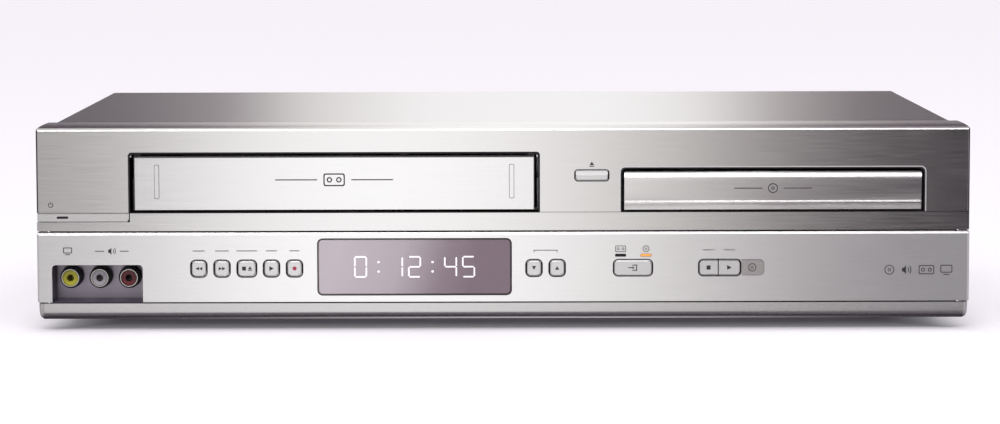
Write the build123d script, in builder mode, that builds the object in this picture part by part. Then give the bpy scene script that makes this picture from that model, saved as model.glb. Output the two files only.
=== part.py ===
from build123d import *

import os
from math import acos, cos, pi, radians, sin, sqrt, tan

# Combined disc player and video cassette recorder: a low steel case behind a two-part
# moulded front, with a cassette deck on the left and a disc loader on the right.
# Millimetres. +X is to the right seen from the front, the front faces -Y, +Z is up,
# and the origin lies under the middle of the whole on the surface that it stands on.

os.makedirs("parts", exist_ok=True)

# ---- Driving dimensions --------------------------------------------------------------

# Across the front, from the left end to the right.
left_margin = 43.3
cassette_opening_width = 191.0
middle_margin = 38.4
disc_opening_width = 141.1
right_margin = 21.2

# Up the front, from the table.
foot_height = 5.0
chin_height = 7.9
seam = 0.7
panel_height = 32.5
strip_height = 8.7
fascia_height = 39.2
crown_rise = 1.7
cassette_opening_height = 27.7
disc_opening_height = 20.3

# How far each face stands behind the foremost plane, which is the lower panel's face.
fascia_setback = 1.0
strip_setback = 1.8
chin_setback = 0.8
flap_setback = 2.2

# Walls, sheets and clearances.
fascia_wall = 2.2
panel_wall = 2.5
steel = 1.0
bezel_depth = 20.0
end_taper = 2.7
cover_inset = 6.2
cover_gap = 0.3
boss_length = 2.3
carrier_thickness = 2.0
board_standoff = 4.5
board_thickness = 1.6
running = 0.06
slack = 0.3

# Push buttons, each in a hole with a dark line of gap round it.
button_gap = 0.4
button_travel = 0.8
button_inset = 0.2
button_height = 7.35
button_z = 29.3
small_key_width = 7.0
stop_eject_width = 8.6
source_width = 17.9
open_close_width = 15.5
open_close_height = 4.8
open_close_z = 72.5
open_close_margin = 6.05
open_close_lean = 0.6
stem_width = 3.0
switch_height = 2.4

# Display window and the recess for the three front sockets.
window_width = 89.5
window_height = 25.5
window_left = 131.4
window_rise = 3.6
recess_width = 42.4
recess_height = 17.5
recess_left = 6.9
recess_depth = 19.2
jack_pitch = 13.75
jack_rise = 10.5
jack_reach = 10.7
collar_reach = 2.7
sleeve_radius = 4.15
sleeve_wall = 0.4
sleeve_foot = 0.35
contact_radius = 1.65

# Cassette deck.
cassette_width = 188.0
cassette_height = 25.0
basket_front = 20.0
basket_length = 92.0
basket_travel = 58.0
basket_drop = 18.0
basket_wall = 1.2
flap_side_gap = 2.15
flap_top_gap = 1.35
flap_bottom_gap = 1.15
flap_thickness = 2.5
flap_pin_radius = 1.1
drum_radius = 31.0
drum_tilt = 6.0
drum_gap = 3.0
drum_room = 23.0
deck_plate_z = 30.0
reel_pitch = 92.2
reel_radius = 20.5
capstan_radius = 1.5
flywheel_radius = 24.0
roller_radius = 6.5

# Disc loader.
disc_radius = 60.0
disc_centre = 76.0
tray_gap = 1.35
tray_top = 70.0
tray_thickness = 8.0
tray_half_width = 66.0
tray_travel = 136.0
tray_hold = 22.0
runner_width = 4.0
runner_height = 2.4
loader_wall = 2.0
rack_module = 1.0
pinion_teeth = 20
pinion_setback = 21.0
pressure_angle = 20.0
traverse_tilt = 6.0
pivot_height = 57.0
turntable_radius = 16.0
bridge_height = 76.0
sled_inner = 24.0
sled_travel = 34.0
swing_length = 96.0
pivot_room = 8.0

# Back of the case, and how far the front feet stand behind its pan's front edge.
socket_reach = 8.0
foot_setback = 42.0
vent_pitch_x = 24.0
vent_pitch_z = 6.0
vent_z = 70.0

# ---- Places worked out from the dimensions above -------------------------------------

left_part = left_margin + cassette_opening_width + middle_margin
width = left_part + disc_opening_width + right_margin
left_x = -width / 2
right_x = width / 2
cassette_left = left_x + left_margin
cassette_x = cassette_left + cassette_opening_width / 2
disc_x = right_x - right_margin - disc_opening_width / 2
cover_half = width / 2 - cover_inset

chin_top = foot_height + chin_height
panel_bottom = chin_top + seam
panel_top = panel_bottom + panel_height
strip_bottom = panel_top + seam
strip_top = strip_bottom + strip_height
fascia_top = strip_top + fascia_height
cover_top = fascia_top + crown_rise
floor_top = foot_height + steel

basket_back = basket_front + basket_length
drum_y_offset = basket_back + basket_travel + drum_gap + drum_radius
case_depth = drum_y_offset + drum_radius + drum_room
depth = case_depth + socket_reach
front_y = -depth / 2
back_y = front_y + case_depth
bezel_back = front_y + fascia_setback + bezel_depth
cover_front = bezel_back + cover_gap
carrier_front = front_y + fascia_setback + fascia_wall + boss_length
carrier_back = carrier_front + carrier_thickness
board_front = carrier_back + board_standoff
board_back = board_front + board_thickness
stem_end = board_front - switch_height - button_travel - slack

tray_rear = tray_travel + tray_hold
pivot_y = front_y + disc_centre + swing_length

pocket_wall = 1.5
recess_x = left_x + recess_left + recess_width / 2
recess_top = panel_bottom + recess_height
pocket_left = recess_x - recess_width / 2 - pocket_wall
pocket_right = recess_x + recess_width / 2 + pocket_wall
pocket_top = recess_top + pocket_wall
pocket_bottom = panel_bottom - 1.4


def at_x(x):
    """Upright plane across the object: local x is world y and local y is world z."""
    return Plane.YZ.offset(x)


def at_y(y):
    """Upright plane facing the front: local x is world x and local y is world z."""
    return Plane.XZ.offset(-y)


def at_z(z):
    """Level plane at this height."""
    return Plane.XY.offset(z)


def block(x0, x1, y0, y1, z0, z1, mode=Mode.ADD):
    """A square-cornered block between two corners, in the part being built."""
    with BuildSketch(at_z(z0)) as outline:
        with Locations(((x0 + x1) / 2, (y0 + y1) / 2)):
            Rectangle(x1 - x0, y1 - y0)
    extrude(outline.sketch, amount=z1 - z0, mode=mode)


def post(x, y, radius, z0, z1, mode=Mode.ADD):
    """An upright round post, in the part being built."""
    with BuildSketch(at_z(z0)) as outline:
        with Locations((x, y)):
            Circle(radius)
    extrude(outline.sketch, amount=z1 - z0, mode=mode)


def pin_along_x(y, z, radius, x0, x1, mode=Mode.ADD):
    """A round pin lying across the object, in the part being built."""
    with BuildSketch(at_x(x0)) as outline:
        with Locations((y, z)):
            Circle(radius)
    extrude(outline.sketch, amount=x1 - x0, mode=mode)


def pin_along_y(x, z, radius, y0, y1, mode=Mode.ADD):
    """A round pin running from front to back, in the part being built."""
    with BuildSketch(at_y(y0)) as outline:
        with Locations((x, z)):
            Circle(radius)
    extrude(outline.sketch, amount=y0 - y1, mode=mode)


def window(x, z, w, h, radius, y0, y1):
    """A round-cornered hole through a front wall, cut from the part being built."""
    with BuildSketch(at_y(y0)) as outline:
        with Locations((x, z)):
            RectangleRounded(w, h, radius)
    extrude(outline.sketch, amount=y0 - y1, mode=Mode.SUBTRACT)


def doorway(x, sill, w, h, radius, y0, y1):
    """A hole with two rounded upper corners, cut from the part being built."""
    with BuildSketch(at_y(y0)) as outline:
        with Locations((x, sill + h / 2)):
            RectangleRounded(w, h, radius)
        with Locations((x, sill + h / 4)):
            Rectangle(w, h / 2)
    extrude(outline.sketch, amount=y0 - y1, mode=Mode.SUBTRACT)


def save(piece, label):
    """Name a finished piece and write it."""
    piece.label = label
    export_step(piece, "parts/" + label + ".step")


# ---- Buttons: where each one is ------------------------------------------------------

fascia_face = front_y + fascia_setback
strip_face = front_y + strip_setback
panel_face = front_y

corner_share = 0.3
open_close_left = left_part - open_close_margin - open_close_width / 2
row = {
    "rewind_button": (75.5, small_key_width),
    "fast_forward_button": (86.3, small_key_width),
    "stop_eject_button": (97.9, stop_eject_width),
    "play_button": (109.4, small_key_width),
    "record_button": (120.15, small_key_width),
    "tracking_down_button": (231.9, small_key_width),
    "tracking_up_button": (242.7, small_key_width),
    "source_button": (278.1, source_width),
}
# name: (centre from the left end, centre height, hole width, hole height, face, wall)
buttons = {
    name: (from_left, button_z, w, button_height, panel_face, panel_wall)
    for name, (from_left, w) in row.items()
}
buttons["open_close_button"] = (
    open_close_left, open_close_z, open_close_width, open_close_height, fascia_face, fascia_wall
)

# The disc's own stop and play keys share one hole, beside a shallow printed field.
pair_left = 308.9
stop_width = 9.0
play_width = 10.3
field_width = 30.4
field_depth = 0.4

standby_length = 43.0
standby_height = 4.5
standby_notch = 4.5
standby_proud = 0.6
standby_front = strip_face - standby_proud
standby_back = strip_face + fascia_wall + slack
standby_z = strip_top - standby_height / 2
standby_flange_left = left_x + 9.0
standby_flange_right = left_x + standby_length - 1.0
standby_flange_half = standby_height / 2 + 0.7
flange_thickness = 1.0

light_width = 4.8
light_height = 1.1
light_z = 35.2
light_places = (272.3, 284.15)


def cap_centre(name):
    """Centre of a button on the front, in world x and z."""
    from_left, z = buttons[name][:2]
    return left_x + from_left, z


# ---- Upper fascia --------------------------------------------------------------------

fascia_edge_radius = 1.5
fascia_corner_radius = 1.0
opening_radius = 1.8
disc_corner_radius = 2.3
bevel = 0.5
opening_top = strip_top + cassette_opening_height
disc_opening_top = strip_top + disc_opening_height
flap_face = front_y + flap_setback
flap_pin_y = fascia_face + fascia_wall + slack + flap_pin_radius
flap_pin_z = opening_top + 1.2
flap_half = cassette_opening_width / 2 - flap_side_gap
lug_inner = flap_half + 1.0
lug_outer = lug_inner + 3.0
lug_radius = 3.0

with BuildPart() as upper_fascia:
    with BuildSketch(at_x(0)):
        with BuildLine():
            Polyline(
                (strip_face, strip_bottom),
                (strip_face, strip_top),
                (fascia_face, strip_top),
                (fascia_face, fascia_top),
                (bezel_back, cover_top),
                (bezel_back, strip_bottom),
                close=True,
            )
        make_face()
    extrude(amount=width / 2, both=True)
    with BuildSketch(at_z(0)):
        with BuildLine():
            for side in (-1, 1):
                end = side * width / 2
                ThreePointArc(
                    (end, fascia_face),
                    (end - side * end_taper * 0.22, fascia_face + bezel_depth / 2),
                    (end - side * end_taper, bezel_back),
                )
            Line((left_x, fascia_face), (right_x, fascia_face))
            Line((left_x + end_taper, bezel_back), (right_x - end_taper, bezel_back))
        make_face()
    extrude(amount=cover_top, mode=Mode.INTERSECT)
    top_edge = upper_fascia.edges().filter_by(Axis.X).filter_by_position(
        Axis.Z, fascia_top - 0.01, fascia_top + 0.01
    )
    fillet(top_edge, fascia_edge_radius)
    end_edges = upper_fascia.edges().filter_by(Axis.Z).filter_by_position(
        Axis.Y, fascia_face - 0.01, fascia_face + 0.01
    )
    fillet(end_edges, fascia_corner_radius)
    # Hollow behind the wall, open to the back and underneath.
    inner_half = width / 2 - end_taper - fascia_wall
    with BuildSketch(at_x(-inner_half)):
        with BuildLine():
            Polyline(
                (strip_face + fascia_wall, strip_bottom - 1),
                (strip_face + fascia_wall, strip_top),
                (fascia_face + fascia_wall, strip_top),
                (fascia_face + fascia_wall, fascia_top - fascia_wall),
                (bezel_back + 1, cover_top - fascia_wall),
                (bezel_back + 1, strip_bottom - 1),
                close=True,
            )
        make_face()
    extrude(amount=2 * inner_half, mode=Mode.SUBTRACT)
    # Cassette opening and disc tray opening, with a bevelled rim.
    doorway(
        cassette_x,
        strip_top,
        cassette_opening_width,
        cassette_opening_height,
        opening_radius,
        fascia_face - 1,
        fascia_face + fascia_wall,
    )
    doorway(
        disc_x,
        strip_top,
        disc_opening_width,
        disc_opening_height,
        disc_corner_radius,
        fascia_face - 1,
        fascia_face + fascia_wall,
    )
    face_edges = upper_fascia.edges().filter_by_position(
        Axis.Y, fascia_face - 0.01, fascia_face + 0.01
    )
    above_sill = face_edges.filter_by_position(Axis.Z, strip_top + 1, disc_opening_top + 0.01)
    reach = disc_opening_width / 2 + 0.01
    rim_edges = above_sill.filter_by_position(Axis.X, disc_x - reach, disc_x + reach)
    chamfer(rim_edges, bevel)
    # Hole of the open and close button.
    from_left, z, w, h, face, wall = buttons["open_close_button"]
    window(
        left_x + from_left,
        z,
        w + button_gap,
        h + button_gap,
        h * corner_share,
        face - 1,
        face + wall,
    )
    # Notch in the strip for the standby bar, open at the left end.
    with BuildSketch(at_z(strip_top - standby_height)):
        with BuildLine():
            Polyline(
                (left_x - 1, fascia_face - 1),
                (left_x + standby_length + button_gap, fascia_face - 1),
                (left_x + standby_length + button_gap, strip_face + fascia_wall),
                (left_x + end_taper + fascia_wall, strip_face + fascia_wall),
                (left_x + end_taper + fascia_wall, strip_face + standby_notch),
                (left_x - 1, strip_face + standby_notch),
                close=True,
            )
        make_face()
    extrude(amount=standby_height, mode=Mode.SUBTRACT)
    # Lugs that hold the flap's pins, behind the wall at each end of the opening.
    for side in (-1, 1):
        start = cassette_x + side * (lug_inner + lug_outer) / 2
        with BuildSketch(at_x(start)):
            with Locations((flap_pin_y, flap_pin_z)):
                Circle(lug_radius)
            with Locations((fascia_face + fascia_wall / 2, flap_pin_z)):
                Rectangle(fascia_wall, 2 * lug_radius)
            with Locations((flap_pin_y - lug_radius / 2, flap_pin_z)):
                Rectangle(lug_radius, 2 * lug_radius)
            with Locations((fascia_face - lug_radius, flap_pin_z)):
                Rectangle(2 * lug_radius, 3 * lug_radius, mode=Mode.SUBTRACT)
            with Locations((flap_pin_y, flap_pin_z)):
                Circle(flap_pin_radius + running, mode=Mode.SUBTRACT)
        extrude(amount=(lug_outer - lug_inner) / 2, both=True)
    # Bosses that meet the carrier.
    boss_places = (
        (left_x + 17.0, fascia_top - 7.0),
        (cassette_x, fascia_top - 5.0),
        (cassette_x - 60.0, fascia_top - 5.0),
        (cassette_x + 60.0, fascia_top - 5.0),
        (cassette_left + cassette_opening_width + 12.0, fascia_top - 7.0),
        (disc_x - 40.0, fascia_top - 8.0),
        (disc_x + 40.0, fascia_top - 8.0),
        (right_x - 11.0, fascia_top - 7.0),
        (right_x - 11.0, strip_top + 5.0),
    )
    with BuildSketch(at_y(fascia_face + fascia_wall)):
        with Locations(*boss_places):
            Circle(2.5)
    extrude(amount=fascia_face + fascia_wall - carrier_front)
save(upper_fascia.part, "upper_fascia")

# ---- Lower fascia --------------------------------------------------------------------

panel_edge_radius = 1.2
panel_flange = 5.2
window_x = left_x + window_left + window_width / 2
window_z = panel_bottom + window_rise + window_height / 2
window_radius = 2.3
recess_radius = 1.8
pair_x = left_x + pair_left + (stop_width + play_width) / 2
field_x = left_x + pair_left + field_width / 2
lower_boss = carrier_front - panel_face - panel_wall

with BuildPart() as lower_fascia:
    block(left_x, right_x, panel_face, bezel_back, panel_bottom, panel_top)
    front_edges = lower_fascia.edges().filter_by_position(
        Axis.Y, panel_face - 0.01, panel_face + 0.01
    )
    top_front = front_edges.filter_by(Axis.X).sort_by(Axis.Z)[-1:]
    fillet(top_front + front_edges.filter_by(Axis.Z), panel_edge_radius)
    # Hollow behind the wall, with a narrow flange along the top and the bottom.
    block(
        left_x + panel_wall,
        right_x - panel_wall,
        panel_face + panel_wall,
        bezel_back + 1,
        panel_bottom + 2.0,
        panel_top - 2.0,
        Mode.SUBTRACT,
    )
    block(
        left_x + panel_wall,
        right_x - panel_wall,
        panel_face + panel_flange,
        bezel_back + 1,
        panel_bottom - 1,
        panel_top + 1,
        Mode.SUBTRACT,
    )
    window(
        window_x,
        window_z,
        window_width + 2 * button_gap,
        window_height + 2 * button_gap,
        window_radius,
        panel_face - 1,
        panel_face + panel_wall,
    )
    # Socket recess, open down to the panel's lower edge.
    with BuildSketch(at_y(panel_face - 1)):
        with Locations((recess_x, recess_top - recess_height)):
            RectangleRounded(recess_width, 2 * recess_height, recess_radius)
    extrude(amount=-(panel_flange + 2), mode=Mode.SUBTRACT)
    block(
        pocket_left - slack,
        pocket_right + slack,
        panel_face + panel_wall,
        panel_face + panel_flange + 1,
        panel_bottom - 1,
        panel_bottom + 3.0,
        Mode.SUBTRACT,
    )
    # Shallow field round the disc keys, and the hole that both keys share.
    with BuildSketch(at_y(panel_face)):
        with Locations((field_x, button_z)):
            RectangleRounded(field_width + button_gap, button_height + button_gap, 2.2)
    extrude(amount=-field_depth, mode=Mode.SUBTRACT)
    window(
        pair_x,
        button_z,
        stop_width + play_width + button_gap,
        button_height + button_gap,
        2.2,
        panel_face - 1,
        panel_face + panel_wall,
    )
    for from_left, z, w, h, face, wall in buttons.values():
        if face == panel_face:
            window(
                left_x + from_left,
                z,
                w + button_gap,
                h + button_gap,
                h * corner_share,
                face - 1,
                face + wall,
            )
    for from_left in light_places:
        window(
            left_x + from_left,
            light_z,
            light_width + 0.3,
            light_height + 0.3,
            0.4,
            panel_face - 1,
            panel_face + panel_wall,
        )
    # Bosses that meet the carrier.
    lower_bosses = (
        (left_x + 9.0, panel_top - 6.0),
        (left_x + 62.0, panel_top - 6.0),
        (left_x + 62.0, panel_bottom + 6.0),
        (window_x + window_width / 2 + 8.0, panel_bottom + 6.0),
        (field_x + 35.0, panel_top - 6.0),
        (field_x + 35.0, panel_bottom + 6.0),
        (right_x - 9.0, panel_top - 6.0),
        (right_x - 9.0, panel_bottom + 6.0),
    )
    with BuildSketch(at_y(panel_face + panel_wall)):
        with Locations(*lower_bosses):
            Circle(2.5)
    extrude(amount=-lower_boss)
save(lower_fascia.part, "lower_fascia")

# ---- Chin rail: the rounded bar under the panel --------------------------------------

chin_wall = 2.5
chin_round = 6.4
chin_lip = 15.2
chin_face = front_y + chin_setback
chin_back = chin_face + chin_lip
chin_end_gap = 0.4

with BuildPart() as chin_rail:
    with BuildSketch(at_x(left_x + chin_end_gap)):
        with BuildLine():
            Polyline(
                (chin_face, foot_height),
                (chin_face, chin_top),
                (chin_back, chin_top),
                (chin_back, foot_height),
                close=True,
            )
        make_face()
    extrude(amount=width - 2 * chin_end_gap)
    low_edges = chin_rail.edges().filter_by_position(Axis.Y, chin_face - 0.01, chin_face + 0.01)
    fillet(low_edges.filter_by(Axis.X).sort_by(Axis.Z)[0], chin_round)
    end_faces = chin_rail.faces().filter_by(Axis.X)
    fillet(end_faces.edges().filter_by(Axis.Y).group_by(Axis.Z)[0], 2.6)
    block(
        left_x + chin_end_gap + chin_wall,
        right_x - chin_end_gap - chin_wall,
        chin_face + chin_wall,
        chin_back + 1,
        foot_height + 2.0,
        chin_top + 1,
        Mode.SUBTRACT,
    )
save(chin_rail.part, "chin_rail")

# ---- Front carrier: the inner frame that both fascias and the front board fasten to --

carrier_edge = end_taper + fascia_wall + slack
carrier_floor = foot_height + 2.0
carrier_top = fascia_top - fascia_wall - 1.0
carrier_flange = chin_back - carrier_back
module_margin = 1.0
standoff_places = (
    (pocket_right + 6.0, panel_bottom + 3.0),
    (pocket_right + 6.0, panel_top - 4.0),
    (window_x + window_width / 2 + 5.0, panel_top - 4.0),
    (field_x, panel_top - 4.0),
    (field_x, panel_bottom + 3.0),
)
tower_shift = 5.4
tower_x = left_x + open_close_left - tower_shift
guide = stem_width + 2 * slack


def stems():
    """Centres of the keys' stems on the front: one to a small key, two to a bar."""
    places = [cap_centre(name) for name in buttons]
    places.append((left_x + pair_left + stop_width / 2, button_z))
    places.append((left_x + pair_left + stop_width + play_width / 2, button_z))
    places.append((left_x + standby_length - 8.0, strip_top - standby_height / 2))
    return places


with BuildPart() as front_carrier:
    with BuildSketch(at_y(carrier_front)):
        with Locations((0, (carrier_floor + carrier_top) / 2)):
            Rectangle(width - 2 * carrier_edge, carrier_top - carrier_floor)
        with Locations((cassette_x, (strip_top + carrier_top) / 2 - 2.0)):
            Rectangle(2 * lug_outer + 2.0, carrier_top - strip_top, mode=Mode.SUBTRACT)
        with Locations((disc_x, strip_top + disc_opening_height / 2)):
            Rectangle(
                disc_opening_width + 4.0,
                disc_opening_height + 2 * (strip_top - strip_bottom),
                mode=Mode.SUBTRACT,
            )
        with Locations((window_x, window_z)):
            Rectangle(
                window_width + 2 * module_margin + 2 * slack,
                window_height + 2 * module_margin + 2 * slack,
                mode=Mode.SUBTRACT,
            )
        with Locations(((pocket_left + pocket_right) / 2, (pocket_bottom + pocket_top) / 2)):
            Rectangle(
                pocket_right - pocket_left + 2 * slack,
                pocket_top - pocket_bottom + 2 * slack,
                mode=Mode.SUBTRACT,
            )
        with Locations(*stems()):
            Rectangle(guide, guide, mode=Mode.SUBTRACT)
        for from_left in light_places:
            with Locations((left_x + from_left, light_z)):
                Rectangle(light_width + 0.6, light_height + 0.6, mode=Mode.SUBTRACT)
    extrude(amount=-carrier_thickness)
    # Room for the standby bar's flange when the bar is pressed.
    block(
        standby_flange_left - slack,
        standby_flange_right + slack,
        carrier_front - 1,
        standby_back + flange_thickness + button_travel + slack,
        standby_z - standby_flange_half - slack,
        standby_z + standby_flange_half + slack,
        Mode.SUBTRACT,
    )
    # Lower flange, along the chin's lip.
    block(
        left_x + carrier_edge,
        right_x - carrier_edge,
        carrier_back,
        carrier_back + carrier_flange,
        carrier_floor,
        carrier_floor + carrier_thickness,
    )
    # Standoffs behind the frame for the front board.
    with BuildSketch(at_y(carrier_back)):
        with Locations(*standoff_places, (tower_x - 8.0, strip_top + 4.0)):
            Circle(2.5)
    extrude(amount=-board_standoff)
save(front_carrier.part, "front_carrier")

# ---- Display: window pane, module behind it and the small source lights --------------

pane_front = panel_face + 0.3
pane_flange = 1.0
pane_back = panel_face + panel_wall + pane_flange

with BuildPart() as display_window:
    with BuildSketch(at_y(pane_front)):
        with Locations((window_x, window_z)):
            RectangleRounded(window_width, window_height, window_radius - button_gap)
    extrude(amount=pane_front - pane_back)
    chamfer(display_window.faces().sort_by(Axis.Y)[0].edges(), 0.3)
    with BuildSketch(at_y(panel_face + panel_wall)):
        with Locations((window_x, window_z)):
            Rectangle(window_width + 2 * module_margin, window_height + 2 * module_margin)
    extrude(amount=-pane_flange)
save(display_window.part, "display_window")

with BuildPart() as display_module:
    with BuildSketch(at_y(pane_back)):
        with Locations((window_x, window_z)):
            Rectangle(window_width + 2 * module_margin, window_height + 2 * module_margin)
    extrude(amount=pane_back - board_front)
    with BuildSketch(at_y(pane_back)):
        with Locations((window_x, window_z)):
            Rectangle(window_width - 2.0, window_height - 2.0)
    extrude(amount=-1.0, mode=Mode.SUBTRACT)
save(display_module.part, "display_module")

with BuildPart() as source_lights:
    for from_left in light_places:
        with BuildSketch(at_y(panel_face + button_inset)):
            with Locations((left_x + from_left, light_z)):
                RectangleRounded(light_width, light_height, 0.3)
        extrude(amount=panel_face + button_inset - board_front)
save(source_lights.part, "source_lights")

# ---- Front board with a switch behind every key --------------------------------------

board_bottom = pocket_bottom - 2.0
board_top = strip_bottom - 3.5
board_left = left_x + carrier_edge
board_right = field_x + 30.0
standby_board_bottom = pocket_top + 1.5
standby_board_top = strip_top + 3.0
tower_half = 13.0
tower_top = strip_top + 24.0
switch_width = 6.0

with BuildPart() as front_board:
    with BuildSketch(at_y(board_front)):
        with BuildLine():
            Polyline(
                (pocket_right + 1.0, board_bottom),
                (board_right, board_bottom),
                (board_right, board_top),
                (tower_x + tower_half, board_top),
                (tower_x + tower_half, tower_top),
                (tower_x - tower_half, tower_top),
                (tower_x - tower_half, board_top),
                (cassette_left - 3.0, board_top),
                (cassette_left - 3.0, standby_board_top),
                (board_left, standby_board_top),
                (board_left, standby_board_bottom),
                (pocket_right + 1.0, standby_board_bottom),
                close=True,
            )
        make_face()
    extrude(amount=-board_thickness)
    with BuildSketch(at_y(board_front)):
        with Locations(*stems()):
            Rectangle(switch_width, 4.0)
    extrude(amount=switch_height)
save(front_board.part, "front_board")

# ---- Recess for the front sockets ----------------------------------------------------

recess_back = panel_face + recess_depth
jack_z = panel_bottom + jack_rise
jack_xs = [recess_x + step * jack_pitch for step in (-1, 0, 1)]
foot_of_sleeve = sleeve_radius + sleeve_foot
collar_radius = foot_of_sleeve + 0.8

with BuildPart() as jack_pocket:
    block(
        pocket_left,
        pocket_right,
        panel_face + panel_wall,
        recess_back + pocket_wall,
        pocket_bottom,
        pocket_top,
    )
    with BuildSketch(at_y(panel_face)):
        with Locations((recess_x, panel_bottom + recess_height / 2)):
            Rectangle(recess_width, recess_height)
    extrude(amount=-recess_depth, mode=Mode.SUBTRACT)
    # The chin's top edge takes the floor's front part.
    block(
        pocket_left,
        pocket_right,
        panel_face,
        chin_face + chin_wall + slack,
        foot_height,
        chin_top + slack,
        Mode.SUBTRACT,
    )
    with BuildSketch(at_y(recess_back)):
        with Locations(*[(x, jack_z) for x in jack_xs]):
            Circle(collar_radius)
            Circle(foot_of_sleeve + running, mode=Mode.SUBTRACT)
    extrude(amount=collar_reach)
    with BuildSketch(at_y(recess_back)):
        with Locations(*[(x, jack_z) for x in jack_xs]):
            Circle(foot_of_sleeve + running)
    extrude(amount=-pocket_wall, mode=Mode.SUBTRACT)
save(jack_pocket.part, "jack_pocket")

with BuildPart() as front_jack_sleeves:
    with BuildSketch(at_y(recess_back + pocket_wall)):
        with Locations(*[(x, jack_z) for x in jack_xs]):
            Circle(foot_of_sleeve)
    extrude(amount=pocket_wall + collar_reach)
    with BuildSketch(at_y(recess_back)):
        with Locations(*[(x, jack_z) for x in jack_xs]):
            Circle(sleeve_radius)
    extrude(amount=jack_reach)
    with BuildSketch(at_y(recess_back + pocket_wall)):
        with Locations(*[(x, jack_z) for x in jack_xs]):
            Circle(sleeve_radius - sleeve_wall)
    extrude(amount=jack_reach + pocket_wall, mode=Mode.SUBTRACT)
save(front_jack_sleeves.part, "front_jack_sleeves")

for x, name in zip(jack_xs, ("yellow", "white", "red")):
    with BuildPart() as insert:
        with BuildSketch(at_y(recess_back + pocket_wall)):
            with Locations((x, jack_z)):
                Circle(sleeve_radius - sleeve_wall)
        extrude(amount=jack_reach + pocket_wall - 0.2)
        chamfer(insert.faces().sort_by(Axis.Y)[0].edges(), 0.4)
        with BuildSketch(at_y(recess_back - jack_reach)):
            with Locations((x, jack_z)):
                Circle(contact_radius)
        extrude(amount=-jack_reach, mode=Mode.SUBTRACT)
    save(insert.part, "jack_insert_" + name)

# ---- Cassette flap -------------------------------------------------------------------

flap_bottom = strip_top + flap_bottom_gap
flap_top = opening_top - flap_top_gap
bar_height = 15.5
bar_width = 1.9
bar_inset = 10.6
bar_proud = 0.3
ear_width = 3.0
ear_front = fascia_face + fascia_wall + slack
ear_back = ear_front + 2.6

with BuildPart() as cassette_flap:
    with BuildSketch(at_x(cassette_x)):
        with BuildLine():
            Polyline(
                (flap_face, flap_bottom),
                (flap_face, flap_top),
                (flap_face + flap_thickness, flap_top),
                (flap_face + flap_thickness, flap_bottom),
                close=True,
            )
        make_face()
    extrude(amount=flap_half, both=True)
    front_edges = cassette_flap.faces().sort_by(Axis.Y)[0].edges()
    chamfer(front_edges.sort_by(Axis.Z)[-1], 0.9)
    chamfer(
        cassette_flap.faces().sort_by(Axis.Y)[0].edges().filter_by(Axis.Z),
        0.4,
    )
    # Two shallow upright bars near the ends.
    for side in (-1, 1):
        with BuildSketch(at_y(flap_face)):
            with Locations((cassette_x + side * (flap_half - bar_inset), strip_top + 14.3)):
                RectangleRounded(bar_width, bar_height, bar_width / 2 - 0.1)
        extrude(amount=bar_proud)
    # Ears that carry the hinge pins, behind the fascia's wall.
    for side in (-1, 1):
        ear_x = cassette_x + side * (flap_half - ear_width / 2)
        with BuildSketch(at_x(ear_x)):
            with Locations((flap_pin_y, flap_pin_z)):
                Circle(flap_pin_radius + slack)
            with BuildLine():
                Polyline(
                    (ear_front, flap_top - 6.0),
                    (ear_front, flap_pin_z),
                    (ear_back, flap_pin_z),
                    (ear_back, flap_top - 6.0),
                    close=True,
                )
            make_face()
        extrude(amount=ear_width / 2, both=True)
        pin_start = cassette_x + side * (flap_half - 0.5)
        pin_end = cassette_x + side * (lug_outer - 0.2)
        pin_along_x(
            flap_pin_y, flap_pin_z, flap_pin_radius, min(pin_start, pin_end), max(pin_start, pin_end)
        )
save(cassette_flap.part, "cassette_flap")

# ---- Push buttons --------------------------------------------------------------------

cap_edge = 0.5
flange_reach = 0.9


def make_button(x, z, w, h, face, wall, lean):
    """One key: a rounded cap, a flange behind the wall above and below, and a stem.

    The upper half of the cap's face leans back by this much at its top.
    """
    cap_front = face + button_inset
    flange_front = face + wall + slack
    with BuildPart() as key:
        with BuildSketch(at_y(cap_front)):
            with Locations((x, z)):
                RectangleRounded(w - button_gap, h - button_gap, h * corner_share - 0.3)
        extrude(amount=cap_front - flange_front)
        fillet(key.faces().sort_by(Axis.Y)[0].edges(), cap_edge)
        with BuildSketch(at_x(x)):
            with BuildLine():
                Polyline(
                    (cap_front, z - h / 2),
                    (cap_front, z),
                    (cap_front + lean, z + h / 2),
                    (flange_front, z + h / 2),
                    (flange_front, z - h / 2),
                    close=True,
                )
            make_face()
        extrude(amount=w / 2, both=True, mode=Mode.INTERSECT)
        with BuildSketch(at_y(flange_front)):
            with Locations((x, z)):
                Rectangle(w - button_gap, h + button_gap + 2 * flange_reach)
        extrude(amount=-flange_thickness)
        with BuildSketch(at_y(flange_front + flange_thickness)):
            with Locations((x, z)):
                Rectangle(stem_width, stem_width)
        extrude(amount=flange_front + flange_thickness - stem_end)
    return key.part


for name, (from_left, z, w, h, face, wall) in buttons.items():
    lean = open_close_lean if name == "open_close_button" else 0.0
    save(make_button(left_x + from_left, z, w, h, face, wall, lean), name)

# The two disc keys share one rounded hole and meet at a thin line.
pair_gap = 0.5
pair_divider = left_x + pair_left + stop_width
pair_front = panel_face + button_inset
pair_flange = panel_face + panel_wall + slack

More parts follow.
